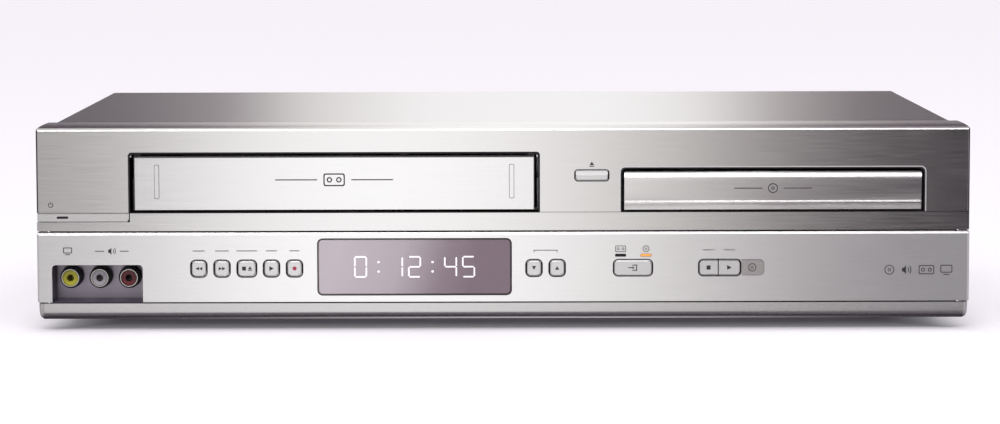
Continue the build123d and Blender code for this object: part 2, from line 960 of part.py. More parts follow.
for name, side, key_width in (
    ("disc_stop_button", -1, stop_width),
    ("disc_play_button", 1, play_width),
):
    key_x = pair_divider + side * key_width / 2
    with BuildPart() as disc_key:
        with BuildSketch(at_y(pair_front)):
            with Locations((pair_x, button_z)):
                RectangleRounded(
                    stop_width + play_width - button_gap, button_height - button_gap, 1.9
                )
            with Locations((key_x + side * pair_gap / 2, button_z)):
                Rectangle(key_width, button_height, mode=Mode.INTERSECT)
        extrude(amount=pair_front - pair_flange)
        chamfer(disc_key.faces().sort_by(Axis.Y)[0].edges(), 0.3)
        with BuildSketch(at_y(pair_flange)):
            with Locations((key_x, button_z)):
                Rectangle(key_width - 1.0, button_height + button_gap + 2 * flange_reach)
        extrude(amount=-flange_thickness)
        with BuildSketch(at_y(pair_flange + flange_thickness)):
            with Locations((key_x, button_z)):
                Rectangle(stem_width, stem_width)
        extrude(amount=pair_flange + flange_thickness - stem_end)
    save(disc_key.part, name)

# Standby bar: it wraps the left end of the strip, with a slot for its light.
light_slot_left = 9.7
light_slot_width = 4.5
light_slot_height = 1.0

with BuildPart() as standby_button:
    with BuildSketch(at_y(standby_front)):
        with BuildLine():
            bottom = strip_top - standby_height + button_gap
            end = left_x + standby_length
            Polyline(
                (left_x + 0.3, bottom),
                (left_x + 0.3, strip_top - button_gap / 2),
                (end, strip_top - button_gap / 2),
                (end, bottom),
                close=True,
            )
        make_face()
        fillet(vertices().sort_by(Axis.X)[-2:].sort_by(Axis.Y)[0], 1.4)
    extrude(amount=standby_front - standby_back)
    chamfer(standby_button.faces().sort_by(Axis.Y)[0].edges().sort_by(Axis.Z)[-1], 0.5)
    with BuildSketch(at_y(standby_front)):
        with Locations((left_x + light_slot_left + light_slot_width / 2, standby_z)):
            RectangleRounded(light_slot_width, light_slot_height, 0.3)
    extrude(amount=-0.4, mode=Mode.SUBTRACT)
    block(
        standby_flange_left,
        standby_flange_right,
        standby_back,
        standby_back + flange_thickness,
        standby_z - standby_flange_half,
        standby_z + standby_flange_half,
    )
    with BuildSketch(at_y(standby_back + flange_thickness)):
        with Locations((left_x + standby_length - 8.0, standby_z)):
            Rectangle(stem_width, stem_width)
    extrude(amount=standby_back + flange_thickness - stem_end)
save(standby_button.part, "standby_button")

# ---- Case: chassis pan, cover, rear panel, feet and screws ---------------------------

pan_half = cover_half - steel - slack
pan_front = chin_back
pan_back = back_y - 2 * steel
pan_side_height = 17.0
pan_front_height = 6.5
board_z = floor_top + 6.0
power_board_z = floor_top + 8.0
side_screw_z = foot_height + 9.0
side_screw_ys = (cover_front + 24.0, back_y - 25.0)
rear_screw_z = cover_top - 6.0
rear_screw_xs = (-0.36 * width, 0.0, 0.36 * width)
screw_radius = 1.5
head_radius = 3.2
head_height = 1.6
foot_radius = 9.0
foot_places = [
    (side * (pan_half - 34.0), y)
    for side in (-1, 1)
    for y in (pan_front + foot_setback, back_y - 30.0)
]

deck_top = deck_plate_z + basket_wall
basket_inner = cassette_width / 2 + 0.7
basket_outer = basket_inner + basket_wall
slide_inner = basket_outer + 0.5
slide_outer = slide_inner + basket_wall
frame_inner = slide_outer + 0.6
frame_outer = frame_inner + basket_wall
deck_front = front_y + 60.0
drum_y = front_y + drum_y_offset
deck_back = drum_y + drum_radius + 3.0
leg_length = 14.0
leg_ys = (deck_front + 10.0, deck_back - 6.0 - leg_length)

loader_half = tray_half_width + runner_width + 0.4 + loader_wall
loader_front = carrier_back + 1.5
loader_back = pivot_y + pivot_room
loader_legs = [
    (disc_x + side * (loader_half - 6.0), y)
    for side in (-1, 1)
    for y in (loader_front + 24.0, loader_back - 14.0)
]
leg_radius = 4.0

main_left = cassette_x - frame_inner + 2.0
main_right = disc_x + loader_half + 2.0
main_front = board_back + 12.0
main_step = loader_back + 2.0
main_back = back_y - 8.0
power_left = cassette_x + frame_outer + 10.0
power_right = pan_half - 4.0
power_front = main_step + 5.0
power_back = back_y - 6.0
main_bosses = [
    (main_left + 6.0, main_front + 8.0),
    (main_left + 6.0, main_step),
    (main_right - 30.0, main_front + 20.0),
    (cassette_x + frame_outer + 14.0, main_front + 50.0),
    (main_left + 60.0, main_back - 30.0),
]
power_bosses = [
    (x, y) for x in (power_left + 5.0, power_right - 5.0) for y in (power_front + 5.0, power_back - 5.0)
]

with BuildPart() as chassis_pan:
    block(-pan_half, pan_half, pan_front, pan_back, foot_height, foot_height + pan_side_height)
    block(
        -pan_half + steel,
        pan_half - steel,
        pan_front + steel,
        pan_back + 1,
        floor_top,
        cover_top,
        Mode.SUBTRACT,
    )
    block(
        -width,
        width,
        pan_front - 1,
        pan_front + 12.0,
        foot_height + pan_front_height,
        cover_top,
        Mode.SUBTRACT,
    )
    # Two rows of vents under the boards.
    with BuildSketch(at_z(foot_height)):
        with Locations((cassette_x, 0), (disc_x, 0)):
            with GridLocations(26.0, 60.0, 4, 2):
                Rectangle(18.0, 3.0)
    extrude(amount=steel, mode=Mode.SUBTRACT)
    with BuildSketch(at_z(floor_top)):
        with Locations(*main_bosses):
            Circle(3.0)
    extrude(amount=board_z - floor_top)
    with BuildSketch(at_z(floor_top)):
        with Locations(*power_bosses):
            Circle(3.0)
    extrude(amount=power_board_z - floor_top)
    for y in side_screw_ys:
        pin_along_x(y, side_screw_z, screw_radius + running, -width, width, Mode.SUBTRACT)
save(chassis_pan.part, "chassis_pan")

skirt_bottom = foot_height + 2.0
rear_flange = 12.0

with BuildPart() as top_cover:
    with BuildSketch(at_y(cover_front)):
        with BuildLine():
            Polyline(
                (-cover_half, skirt_bottom),
                (-cover_half, cover_top),
                (cover_half, cover_top),
                (cover_half, skirt_bottom),
                close=True,
            )
        make_face()
        fillet(vertices().group_by(Axis.Y)[-1], 2.0)
    extrude(amount=cover_front - back_y)
    with BuildSketch(at_y(cover_front - 1)):
        with BuildLine():
            Polyline(
                (-cover_half + steel, skirt_bottom - 1),
                (-cover_half + steel, cover_top - steel),
                (cover_half - steel, cover_top - steel),
                (cover_half - steel, skirt_bottom - 1),
                close=True,
            )
        make_face()
        fillet(vertices().group_by(Axis.Y)[-1], 1.0)
    extrude(amount=cover_front - back_y - 1 + steel, mode=Mode.SUBTRACT)
    block(
        -cover_half + steel,
        cover_half - steel,
        back_y - steel - 1,
        back_y + 1,
        skirt_bottom - 1,
        cover_top - rear_flange,
        Mode.SUBTRACT,
    )
    for y in side_screw_ys:
        pin_along_x(y, side_screw_z, screw_radius + running, -width, width, Mode.SUBTRACT)
    for x in rear_screw_xs:
        pin_along_y(x, rear_screw_z, screw_radius + running, back_y - 3, back_y + 3, Mode.SUBTRACT)
save(top_cover.part, "top_cover")

# Sockets on the back, from the right end (seen from the front) to the left.
inlet_x = power_right - 22.0
inlet_z = 34.0
inlet_width = 25.0
inlet_height = 16.0
tuner_x = -pan_half + 11.0
tuner_half = 7.0
tuner_back = back_y - 2 * steel
tuner_length = 48.0
tuner_top = 66.0
aerial_radius = 4.75
nut_across = 11.0
nut_height = 2.0
aerial_zs = (30.0, 52.0)
rear_jack_xs = [cassette_x - 42.0 + 14.0 * step for step in range(6)]
rear_jack_zs = (board_z + board_thickness + 9.0, board_z + board_thickness + 23.0)
rear_block_depth = 11.0
rear_block_left = rear_jack_xs[0] - 8.0
rear_block_right = rear_jack_xs[-1] + 8.0
rear_block_top = rear_jack_zs[-1] + 7.0
rear_panel_front = back_y - 2 * steel

with BuildPart() as rear_panel:
    block(
        -pan_half,
        pan_half,
        rear_panel_front,
        back_y - steel,
        foot_height,
        cover_top - steel - slack,
    )
    with BuildSketch(at_y(back_y)):
        with Locations((inlet_x, inlet_z)):
            Rectangle(inlet_width, inlet_height)
        with Locations(*[(tuner_x, z) for z in aerial_zs]):
            Circle(aerial_radius + slack)
        with Locations(*[(x, z) for x in rear_jack_xs for z in rear_jack_zs]):
            Circle(sleeve_radius + 1.2)
        with Locations((disc_x - 30.0, vent_z)):
            with GridLocations(vent_pitch_x, vent_pitch_z, 4, 4):
                Rectangle(0.75 * vent_pitch_x, 2.6)
    extrude(amount=2 * steel + 1, mode=Mode.SUBTRACT)
    for x in rear_screw_xs:
        pin_along_y(x, rear_screw_z, screw_radius + running, back_y - 3, back_y + 3, Mode.SUBTRACT)
save(rear_panel.part, "rear_panel")

with BuildPart() as feet:
    with BuildSketch(Plane.XY):
        with Locations(*foot_places):
            Circle(foot_radius)
    extrude(amount=foot_height)
    chamfer(feet.edges().group_by(Axis.Z)[0], 0.8)
save(feet.part, "feet")

with BuildPart() as cover_screws:
    for side in (-1, 1):
        for y in side_screw_ys:
            outer = side * (cover_half + head_height)
            inner = side * (pan_half - steel - 3.0)
            seat = side * cover_half
            pin_along_x(y, side_screw_z, screw_radius, min(inner, seat), max(inner, seat))
            pin_along_x(y, side_screw_z, head_radius, min(outer, seat), max(outer, seat))
    for x in rear_screw_xs:
        pin_along_y(x, rear_screw_z, screw_radius, back_y - 6.0, back_y)
        pin_along_y(x, rear_screw_z, head_radius, back_y, back_y + head_height)
save(cover_screws.part, "cover_screws")

# ---- Sockets at the back -------------------------------------------------------------

with BuildPart() as mains_inlet:
    block(
        inlet_x - inlet_width / 2 + slack,
        inlet_x + inlet_width / 2 - slack,
        rear_panel_front - 15.0,
        back_y + 1.0,
        inlet_z - inlet_height / 2 + slack,
        inlet_z + inlet_height / 2 - slack,
    )
    # Figure-of-eight well with its two pins.
    with BuildSketch(at_y(back_y + 1.0)):
        with Locations((inlet_x - 4.3, inlet_z), (inlet_x + 4.3, inlet_z)):
            Circle(4.2)
        with Locations((inlet_x, inlet_z)):
            Rectangle(8.6, 5.4)
    extrude(amount=12.0, mode=Mode.SUBTRACT)
    for side in (-1, 1):
        pin_along_y(inlet_x + side * 4.3, inlet_z, 1.2, back_y - 12.0, back_y - 1.5)
save(mains_inlet.part, "mains_inlet")

with BuildPart() as aerial_tuner:
    block(
        tuner_x - tuner_half,
        tuner_x + tuner_half,
        tuner_back - tuner_length,
        tuner_back,
        floor_top,
        tuner_top,
    )
    for z in aerial_zs:
        pin_along_y(tuner_x, z, aerial_radius, tuner_back, back_y + socket_reach)
        with BuildSketch(at_y(back_y - steel)):
            with Locations((tuner_x, z)):
                RegularPolygon(nut_across / 2, 6, major_radius=False)
        extrude(amount=-nut_height)
        pin_along_y(tuner_x, z, 2.4, back_y - 2.0, back_y + socket_reach + 1, Mode.SUBTRACT)
save(aerial_tuner.part, "aerial_tuner")

with BuildPart() as rear_jack_block:
    block(
        rear_block_left,
        rear_block_right,
        rear_panel_front - rear_block_depth,
        rear_panel_front,
        board_z + board_thickness,
        rear_block_top,
    )
    with BuildSketch(at_y(rear_panel_front)):
        with Locations(*[(x, z) for x in rear_jack_xs for z in rear_jack_zs]):
            Circle(sleeve_radius + 0.9)
    extrude(amount=-2 * steel - 1.0)
    with BuildSketch(at_y(back_y + 2.0)):
        with Locations(*[(x, z) for x in rear_jack_xs for z in rear_jack_zs]):
            Circle(sleeve_radius + running)
    extrude(amount=8.0, mode=Mode.SUBTRACT)
save(rear_jack_block.part, "rear_jack_block")

with BuildPart() as rear_jack_sleeves:
    with BuildSketch(at_y(back_y + socket_reach - 0.4)):
        with Locations(*[(x, z) for x in rear_jack_xs for z in rear_jack_zs]):
            Circle(sleeve_radius)
            Circle(contact_radius, mode=Mode.SUBTRACT)
    extrude(amount=socket_reach - 0.4 + 6.0)
save(rear_jack_sleeves.part, "rear_jack_sleeves")

# ---- Boards --------------------------------------------------------------------------

with BuildPart() as main_board:
    with BuildSketch(at_z(board_z)):
        with BuildLine():
            Polyline(
                (main_left, main_front),
                (main_right, main_front),
                (main_right, main_step),
                (power_left - 4.0, main_step),
                (power_left - 4.0, main_back),
                (main_left, main_back),
                close=True,
            )
        make_face()
        with Locations(*loader_legs):
            Circle(leg_radius + 1.0, mode=Mode.SUBTRACT)
        leg_x = cassette_x + frame_outer - basket_wall / 2
        with Locations(*[(leg_x, y + leg_length / 2) for y in leg_ys]):
            Rectangle(basket_wall + 2.0, leg_length + 2.0, mode=Mode.SUBTRACT)
    extrude(amount=board_thickness)
    # Chips and modules: centre in x and y, width, depth and height.
    on_board = board_z + board_thickness
    for x, y, w, d, h in (
        (cassette_x - 50.0, main_front + 50.0, 24.0, 24.0, 2.4),
        (cassette_x + 40.0, main_front + 90.0, 18.0, 18.0, 2.4),
        (disc_x, main_front + 60.0, 28.0, 28.0, 2.4),
        (disc_x - 35.0, main_front + 30.0, 20.0, 12.0, 4.0),
        (cassette_x - 60.0, main_front + 120.0, 16.0, 30.0, 5.0),
    ):
        block(x - w / 2, x + w / 2, y - d / 2, y + d / 2, on_board, on_board + h)
save(main_board.part, "main_board")

reservoir_radius = 9.0
reservoir_height = 30.0
capacitor_radius = 5.0
capacitor_height = 16.0
capacitor_pitch = 14.0
sink_x = power_left + 66.0
sink_height = 34.0
fin_pitch = 9.0
fin_reach = 8.0
fin_thickness = 1.5
core_x = power_left + 30.0
core_y = power_front + 16.0
core_width = 28.0
core_depth = 12.0
core_height = 26.0
core_wall = 4.0
winding_width = 18.0
winding_depth = 22.0

with BuildPart() as power_board:
    block(
        power_left,
        power_right,
        power_front,
        power_back,
        power_board_z,
        power_board_z + board_thickness,
    )
    on_power = power_board_z + board_thickness
    # Reservoir capacitor, and a row of three smaller ones.
    post(power_right - 48.0, core_y, reservoir_radius, on_power, on_power + reservoir_height)
    for step in range(3):
        post(
            power_left + (1 + step) * capacitor_pitch,
            power_back - 12.0,
            capacitor_radius,
            on_power,
            on_power + capacitor_height,
        )
    # Heat sink with its fins.
    block(
        sink_x,
        sink_x + 2.0,
        power_front + 4.0,
        power_back - 6.0,
        on_power,
        on_power + sink_height,
    )
    for step in range(4):
        fin_y = power_front + 6.0 + fin_pitch * step
        block(
            sink_x - fin_reach,
            sink_x,
            fin_y,
            fin_y + fin_thickness,
            on_power,
            on_power + sink_height,
        )
    # Transformer: windings between the two halves of its core.
    block(
        core_x - core_width / 2,
        core_x + core_width / 2,
        core_y - core_depth / 2,
        core_y + core_depth / 2,
        on_power,
        on_power + core_height,
    )
    block(
        core_x - winding_width / 2,
        core_x + winding_width / 2,
        core_y - winding_depth / 2,
        core_y + winding_depth / 2,
        on_power + core_wall,
        on_power + core_height - core_wall,
    )
save(power_board.part, "power_board")

# ---- Cassette deck -------------------------------------------------------------------

reel_y = front_y + basket_back + basket_travel - 58.0
reel_xs = (cassette_x - reel_pitch / 2, cassette_x + reel_pitch / 2)
reel_post_radius = 2.0
capstan_x = cassette_x + 55.0
capstan_y = front_y + basket_back + basket_travel - 10.0
arm_x = cassette_x + 62.0
arm_y = capstan_y + 28.0
arm_post_radius = 2.0
bearing_radius = 5.0
bearing_top = deck_top + 4.0

with BuildPart() as deck_chassis:
    block(
        cassette_x - frame_outer,
        cassette_x + frame_outer,
        deck_front,
        deck_back,
        deck_plate_z,
        deck_top,
    )
    # Openings that lighten the plate, clear of what it carries.
    with BuildSketch(at_z(deck_plate_z)):
        with Locations((cassette_x, reel_y + 4.0)):
            RectangleRounded(28.0, 60.0, 5.0)
        with Locations((cassette_x - 82.0, reel_y), (cassette_x + 82.0, reel_y)):
            RectangleRounded(18.0, 50.0, 4.0)
    extrude(amount=basket_wall, mode=Mode.SUBTRACT)
    for side in (-1, 1):
        outer = cassette_x + side * frame_outer
        inner = outer - side * basket_wall
        for y in leg_ys:
            block(
                min(outer, inner),
                max(outer, inner),
                y,
                y + leg_length,
                floor_top,
                deck_plate_z,
            )
    for x in reel_xs:
        post(x, reel_y, reel_post_radius, deck_top, deck_top + 12.0)
    post(arm_x, arm_y, arm_post_radius, deck_top, deck_top + 28.0)
    post(capstan_x, capstan_y, bearing_radius, deck_top, bearing_top)
    post(
        capstan_x,
        capstan_y,
        capstan_radius + running,
        deck_plate_z - 1,
        bearing_top + 1,
        Mode.SUBTRACT,
    )
save(deck_chassis.part, "deck_chassis")

guide_z = cover_top - 12.4
guide_radius = 2.0
guide_ys = (front_y + basket_front + 30.0, front_y + basket_front + 64.0)
frame_front = board_back + 1.4
frame_back = drum_y - drum_radius + 5.0
frame_top = cover_top - steel - 3.4
stud_ys = (front_y + basket_front + 32.0, front_y + basket_front + 64.0)
basket_floor = strip_top + 0.4
basket_roof = basket_floor + cassette_height + 0.8
stud_z = basket_floor + 13.0

with BuildPart() as carriage_frame:
    for side in (-1, 1):
        middle = cassette_x + side * (frame_inner + frame_outer) / 2
        with BuildSketch(at_x(middle)):
            with BuildLine():
                Polyline(
                    (frame_front, guide_z - 26.0),
                    (frame_front, frame_top - 4.0),
                    (frame_front + 6.0, frame_top),
                    (frame_back, frame_top),
                    (frame_back, deck_top),
                    (deck_front, deck_top),
                    (deck_front, guide_z - 38.0),
                    close=True,
                )
            make_face()
            slot_start = guide_ys[0] - guide_radius - 0.15
            slot_end = guide_ys[-1] + basket_travel + guide_radius + 0.15
            with Locations(((slot_start + slot_end) / 2, guide_z)):
                SlotOverall(slot_end - slot_start, 2 * guide_radius + 0.3, mode=Mode.SUBTRACT)
            with Locations(((deck_front + frame_back) / 2, deck_top + 20.0)):
                RectangleRounded(70.0, 18.0, 5.0, mode=Mode.SUBTRACT)
        extrude(amount=basket_wall / 2, both=True)
    block(
        cassette_x - frame_outer,
        cassette_x + frame_outer,
        frame_back - 14.0,
        frame_back - 2.0,
        frame_top - basket_wall,
        frame_top,
    )
save(carriage_frame.part, "carriage_frame")

rod_y = (guide_ys[0] + guide_ys[1]) / 2
rod_z = guide_z + 4.0

with BuildPart() as basket_slide:
    for side in (-1, 1):
        middle = cassette_x + side * (slide_inner + slide_outer) / 2
        with BuildSketch(at_x(middle)):
            with BuildLine():
                Polyline(
                    (stud_ys[0] - 8.0, stud_z - basket_drop - 6.0),
                    (stud_ys[0] - 8.0, guide_z + 4.0),
                    (rod_y - 6.0, rod_z + 3.0),
                    (rod_y + 6.0, rod_z + 3.0),
                    (stud_ys[1] + 8.0, guide_z + 4.0),
                    (stud_ys[1] + 8.0, stud_z - basket_drop - 6.0),
                    close=True,
                )
            make_face()
            slot_width = 2 * guide_radius + 0.3
            with Locations(*[(y, stud_z - basket_drop / 2) for y in stud_ys]):
                SlotOverall(
                    basket_drop + slot_width, slot_width, rotation=90, mode=Mode.SUBTRACT
                )
        extrude(amount=basket_wall / 2, both=True)
        start = cassette_x + side * slide_outer
        end = cassette_x + side * (frame_outer + 0.6)
        for y in guide_ys:
            pin_along_x(y, guide_z, guide_radius, min(start, end), max(start, end))
    pin_along_x(rod_y, rod_z, 1.5, cassette_x - slide_outer, cassette_x + slide_outer)
save(basket_slide.part, "basket_slide")

ledge_width = 14.0
front_wall_height = 14.0
roof_window_width = 110.0
roof_window_depth = 44.0
basket_y0 = front_y + basket_front
basket_y1 = front_y + basket_back
roof_start = flap_pin_y + (flap_pin_z - flap_bottom) + 1.5

with BuildPart() as cassette_basket:
    with BuildSketch(at_y(basket_y0)):
        with Locations((cassette_x, (basket_floor + basket_roof) / 2)):
            Rectangle(2 * basket_outer, basket_roof - basket_floor + 2 * basket_wall)
            Rectangle(2 * basket_inner, basket_roof - basket_floor, mode=Mode.SUBTRACT)
        with Locations((cassette_x, basket_floor - basket_wall / 2)):
            Rectangle(
                2 * (basket_outer - ledge_width), basket_wall + 0.2, mode=Mode.SUBTRACT
            )
    extrude(amount=-basket_length)
    # The roof starts behind the open flap, where the side walls step up to it, and has a
    # window over the reels.
    block(
        cassette_x - basket_outer - 1,
        cassette_x + basket_outer + 1,
        basket_y0 - 1,
        roof_start,
        basket_floor + front_wall_height,
        basket_roof + basket_wall + 1,
        Mode.SUBTRACT,
    )
    with BuildSketch(at_z(basket_roof)):
        with Locations((cassette_x, (roof_start + basket_y1) / 2)):
            RectangleRounded(roof_window_width, roof_window_depth, 6.0)
    extrude(amount=basket_wall, mode=Mode.SUBTRACT)
    # Stops behind the cassette, and the studs that ride in the slide's slots.
    for side in (-1, 1):
        x = cassette_x + side * 68.0
        block(x - 8.0, x + 8.0, basket_y1 - basket_wall, basket_y1, basket_roof - 4.5, basket_roof)
        start = cassette_x + side * basket_outer
        end = cassette_x + side * (slide_outer + 0.4)
        for y in stud_ys:
            pin_along_x(y, stud_z, guide_radius, min(start, end), max(start, end))
save(cassette_basket.part, "cassette_basket")

# Drum: the lower half is fixed and the upper one turns, both on an axis that leans back.
tilt = radians(drum_tilt)
drum_plane = Plane(
    origin=(cassette_x, drum_y, deck_top), x_dir=(1, 0, 0), z_dir=(0, sin(tilt), cos(tilt))
)
drum_foot = 5.0
drum_split = 24.0
drum_top = 43.0
drum_shaft = 3.0

with BuildPart() as lower_drum:
    with BuildSketch(drum_plane.offset(drum_foot)):
        Circle(drum_radius)
    extrude(amount=drum_split - drum_foot)
    with BuildSketch(drum_plane.offset(-6.0)):
        Circle(drum_radius * 0.45)
    extrude(amount=drum_foot + 6.0)
    block(
        cassette_x - drum_radius,
        cassette_x + drum_radius,
        drum_y - drum_radius,
        drum_y + drum_radius,
        deck_top - 12.0,
        deck_top,
        Mode.SUBTRACT,
    )
    with BuildSketch(drum_plane.offset(drum_foot)):
        Circle(drum_shaft + running)
    extrude(amount=drum_split, mode=Mode.SUBTRACT)
save(lower_drum.part, "lower_drum")

with BuildPart() as head_drum:
    with BuildSketch(drum_plane.offset(drum_split + slack)):
        Circle(drum_radius)
    extrude(amount=drum_top - drum_split - slack)
    with BuildSketch(drum_plane.offset(drum_top - 3.0)):
        Circle(drum_radius - 4.0)
        Circle(9.0, mode=Mode.SUBTRACT)
    extrude(amount=3.0, mode=Mode.SUBTRACT)
    with BuildSketch(drum_plane.offset(drum_foot + 4.0)):
        Circle(drum_shaft)
    extrude(amount=drum_split - drum_foot - 3.0)
save(head_drum.part, "head_drum")

with BuildPart() as capstan_flywheel:
    post(capstan_x, capstan_y, flywheel_radius, deck_plate_z - 9.0, deck_plate_z - 4.0)
    post(capstan_x, capstan_y, flywheel_radius - 4.0, deck_plate_z - 5.5, deck_plate_z, Mode.SUBTRACT)
    post(capstan_x, capstan_y, 5.0, deck_plate_z - 9.0, deck_plate_z - slack)
    post(capstan_x, capstan_y, capstan_radius, deck_plate_z - 9.0, deck_top + 28.0)
save(capstan_flywheel.part, "capstan_flywheel")

for x, name in zip(reel_xs, ("supply_reel_table", "takeup_reel_table")):
    with BuildPart() as reel_table:
        base = deck_top + slack
        post(x, reel_y, reel_radius, base, base + 3.0)
        post(x, reel_y, 8.0, base + 3.0, base + 9.0)
        post(x, reel_y, 4.6, base + 9.0, base + 17.0)
        with BuildSketch(Plane(origin=(x, reel_y, base + 9.0))):
            with PolarLocations(4.6, 3):
                Rectangle(2.6, 1.4)
        extrude(amount=5.0)
        chamfer(reel_table.edges().group_by(Axis.Z)[-1], 1.2)
        post(x, reel_y, reel_post_radius + running, base - 1, deck_top + 12.0 + slack, Mode.SUBTRACT)
    save(reel_table.part, name)

# Pinch roller arm, parked to the side of the cassette.
roller_length = 20.0
roller_z = deck_top + 5.0
press_x = capstan_x - arm_x
press_y = capstan_y + capstan_radius + roller_radius + 0.1 - arm_y
arm_length = sqrt(press_x**2 + press_y**2)
park_x = arm_x - press_y
park_y = arm_y + press_x
roller_shaft = 1.5
arm_z = roller_z + roller_length + 0.5

with BuildPart() as pinch_roller_arm:
    with BuildSketch(at_z(arm_z)):
        with BuildLine():
            Line((arm_x, arm_y), (park_x, park_y))
        trace(line_width=6.0)
        with Locations((arm_x, arm_y)):
            Circle(4.5)
        with Locations((park_x, park_y)):
            Circle(3.0)
    extrude(amount=2.0)
    post(arm_x, arm_y, 4.5, roller_z + 4.0, arm_z)
    post(park_x, park_y, roller_shaft, roller_z - 1.0, arm_z)
    post(arm_x, arm_y, arm_post_radius + running, roller_z, arm_z + 3.0, Mode.SUBTRACT)
save(pinch_roller_arm.part, "pinch_roller_arm")

with BuildPart() as pinch_roller:
    post(park_x, park_y, roller_radius, roller_z, roller_z + roller_length)
    post(
        park_x, park_y, roller_shaft + running, roller_z - 1, roller_z + roller_length + 1, Mode.SUBTRACT
    )
    chamfer(pinch_roller.edges().group_by(Axis.Z)[0].sort_by(SortBy.RADIUS)[-1], 0.5)
save(pinch_roller.part, "pinch_roller")

with BuildPart() as tape_heads:
    # Erase and sound heads: offset from the deck's middle and the capstan, then their sizes.
    for dx, dy, w, d, h in ((-64.0, 20.0, 14.0, 10.0, 26.0), (34.0, 12.0, 12.0, 9.0, 26.0)):
        x = cassette_x + dx
        y = capstan_y + dy
        block(x - w / 2, x + w / 2, y - d / 2, y + d / 2, deck_top, deck_top + h)
    # Guide posts, each with a flange at either end of the tape's path.
    for dx, dy in ((-44.0, 16.0), (-52.0, 22.0), (46.0, 22.0)):
        post(cassette_x + dx, capstan_y + dy, 1.6, deck_top, deck_top + 27.0)
        post(cassette_x + dx, capstan_y + dy, 3.0, deck_top + 3.0, deck_top + 5.0)
        post(cassette_x + dx, capstan_y + dy, 3.0, deck_top + 24.0, deck_top + 27.0)
save(tape_heads.part, "tape_heads")

# ---- Disc loader ---------------------------------------------------------------------

loader_floor = strip_bottom
floor_thickness = 1.5
tray_bottom = tray_top - tray_thickness
rail = runner_width - 0.1
rail_inner = loader_half - loader_wall - rail
loader_floor_top = loader_floor + floor_thickness
lug_x = 46.5
lug_width = 4.0
hinge_radius = 2.0
well_half = 45.0
pinion_y = front_y + pinion_setback
pitch_radius = rack_module * pinion_teeth / 2
rack_x = disc_x - 57.0
pinion_x = rack_x + pitch_radius
pinion_post = 2.0
bridge_half_depth = 18.0
disc_y = front_y + disc_centre

with BuildPart() as loader_frame:
    block(
        disc_x - loader_half,
        disc_x + loader_half,
        loader_front,
        loader_back,
        loader_floor,
        loader_floor_top,
    )
    with BuildSketch(at_z(loader_floor)):
        with BuildLine():
            well_front = disc_y - 28.0
            well_back = pivot_y - 6.0
            Polyline(
                (disc_x - well_half, well_front),
                (disc_x + well_half, well_front),
                (disc_x + well_half, well_back),
                (disc_x - well_half, well_back),
                close=True,
            )
        make_face()
        fillet(vertices(), 4.0)
    extrude(amount=floor_thickness, mode=Mode.SUBTRACT)
    # Side walls, each with a lower rail and an upper lip that hold the tray's runner.
    for side in (-1, 1):
        outer = disc_x + side * loader_half
        inner = outer - side * loader_wall
        lip = disc_x + side * rail_inner
        block(
            min(outer, inner),
            max(outer, inner),
            loader_front,
            loader_back,
            loader_floor_top,
            bridge_height,
        )
        for low, high in (
            (tray_bottom - slack - 2.0, tray_bottom - slack),
            (tray_bottom + runner_height + slack, tray_bottom + runner_height + slack + 2.0),
        ):
            block(min(inner, lip), max(inner, lip), loader_front, front_y + tray_rear, low, high)
    block(
        disc_x - loader_half,
        disc_x + loader_half,
        loader_back - loader_wall,
        loader_back,
        loader_floor_top,
        tray_bottom - 2.0,
    )
    # Lugs for the traverse's hinge pins.
    for side in (-1, 1):
        near = disc_x + side * lug_x
        far = near + side * lug_width
        block(
            min(near, far),
            max(near, far),
            pivot_y - 5.0,
            pivot_y + 5.0,
            loader_floor_top,
            pivot_height + 3.4,
        )
        pin_along_x(
            pivot_y,
            pivot_height,
            hinge_radius + running,
            min(near, far) - 0.5,
            max(near, far) + 0.5,
            Mode.SUBTRACT,
        )
    post(pinion_x, pinion_y, pinion_post, loader_floor_top, tray_bottom - 1.0)
    for x, y in loader_legs:
        post(x, y, leg_radius, floor_top, loader_floor)
save(loader_frame.part, "loader_frame")

# Tray, with a well for each disc size, a slot for the turntable and pickup, and a rack.
recess_depth_disc = 4.0
small_recess_depth = 1.5
small_disc_radius = 40.0
slot_half = 23.0
rack_thickness = 4.5
rack_back = 3.2
front_plate = 4.0
tray_front_y = front_y + front_plate
backlash = 0.2


def rack_outline(start, end):
    """Closed outline of the rack, seen from above: teeth on the +X side."""
    pitch = pi * rack_module
    lean = tan(radians(pressure_angle))
    half = pitch / 4 - backlash / 2
    tip = half - lean * rack_module
    root = half + lean * 1.25 * rack_module
    top_x = rack_x + rack_module
    root_x = rack_x - 1.25 * rack_module
    count = int((end - start - pitch) / pitch)
    first = pinion_y + pitch / 2
    while first - pitch - root > start:
        first = first - pitch
    points = [(root_x, start)]
    for number in range(count):
        middle = first + number * pitch
        points.append((root_x, middle - root))
        points.append((top_x, middle - tip))
        points.append((top_x, middle + tip))
        points.append((root_x, middle + root))
    points.append((root_x, end))
    points.append((root_x - rack_back, end))
    points.append((root_x - rack_back, start))
    return points


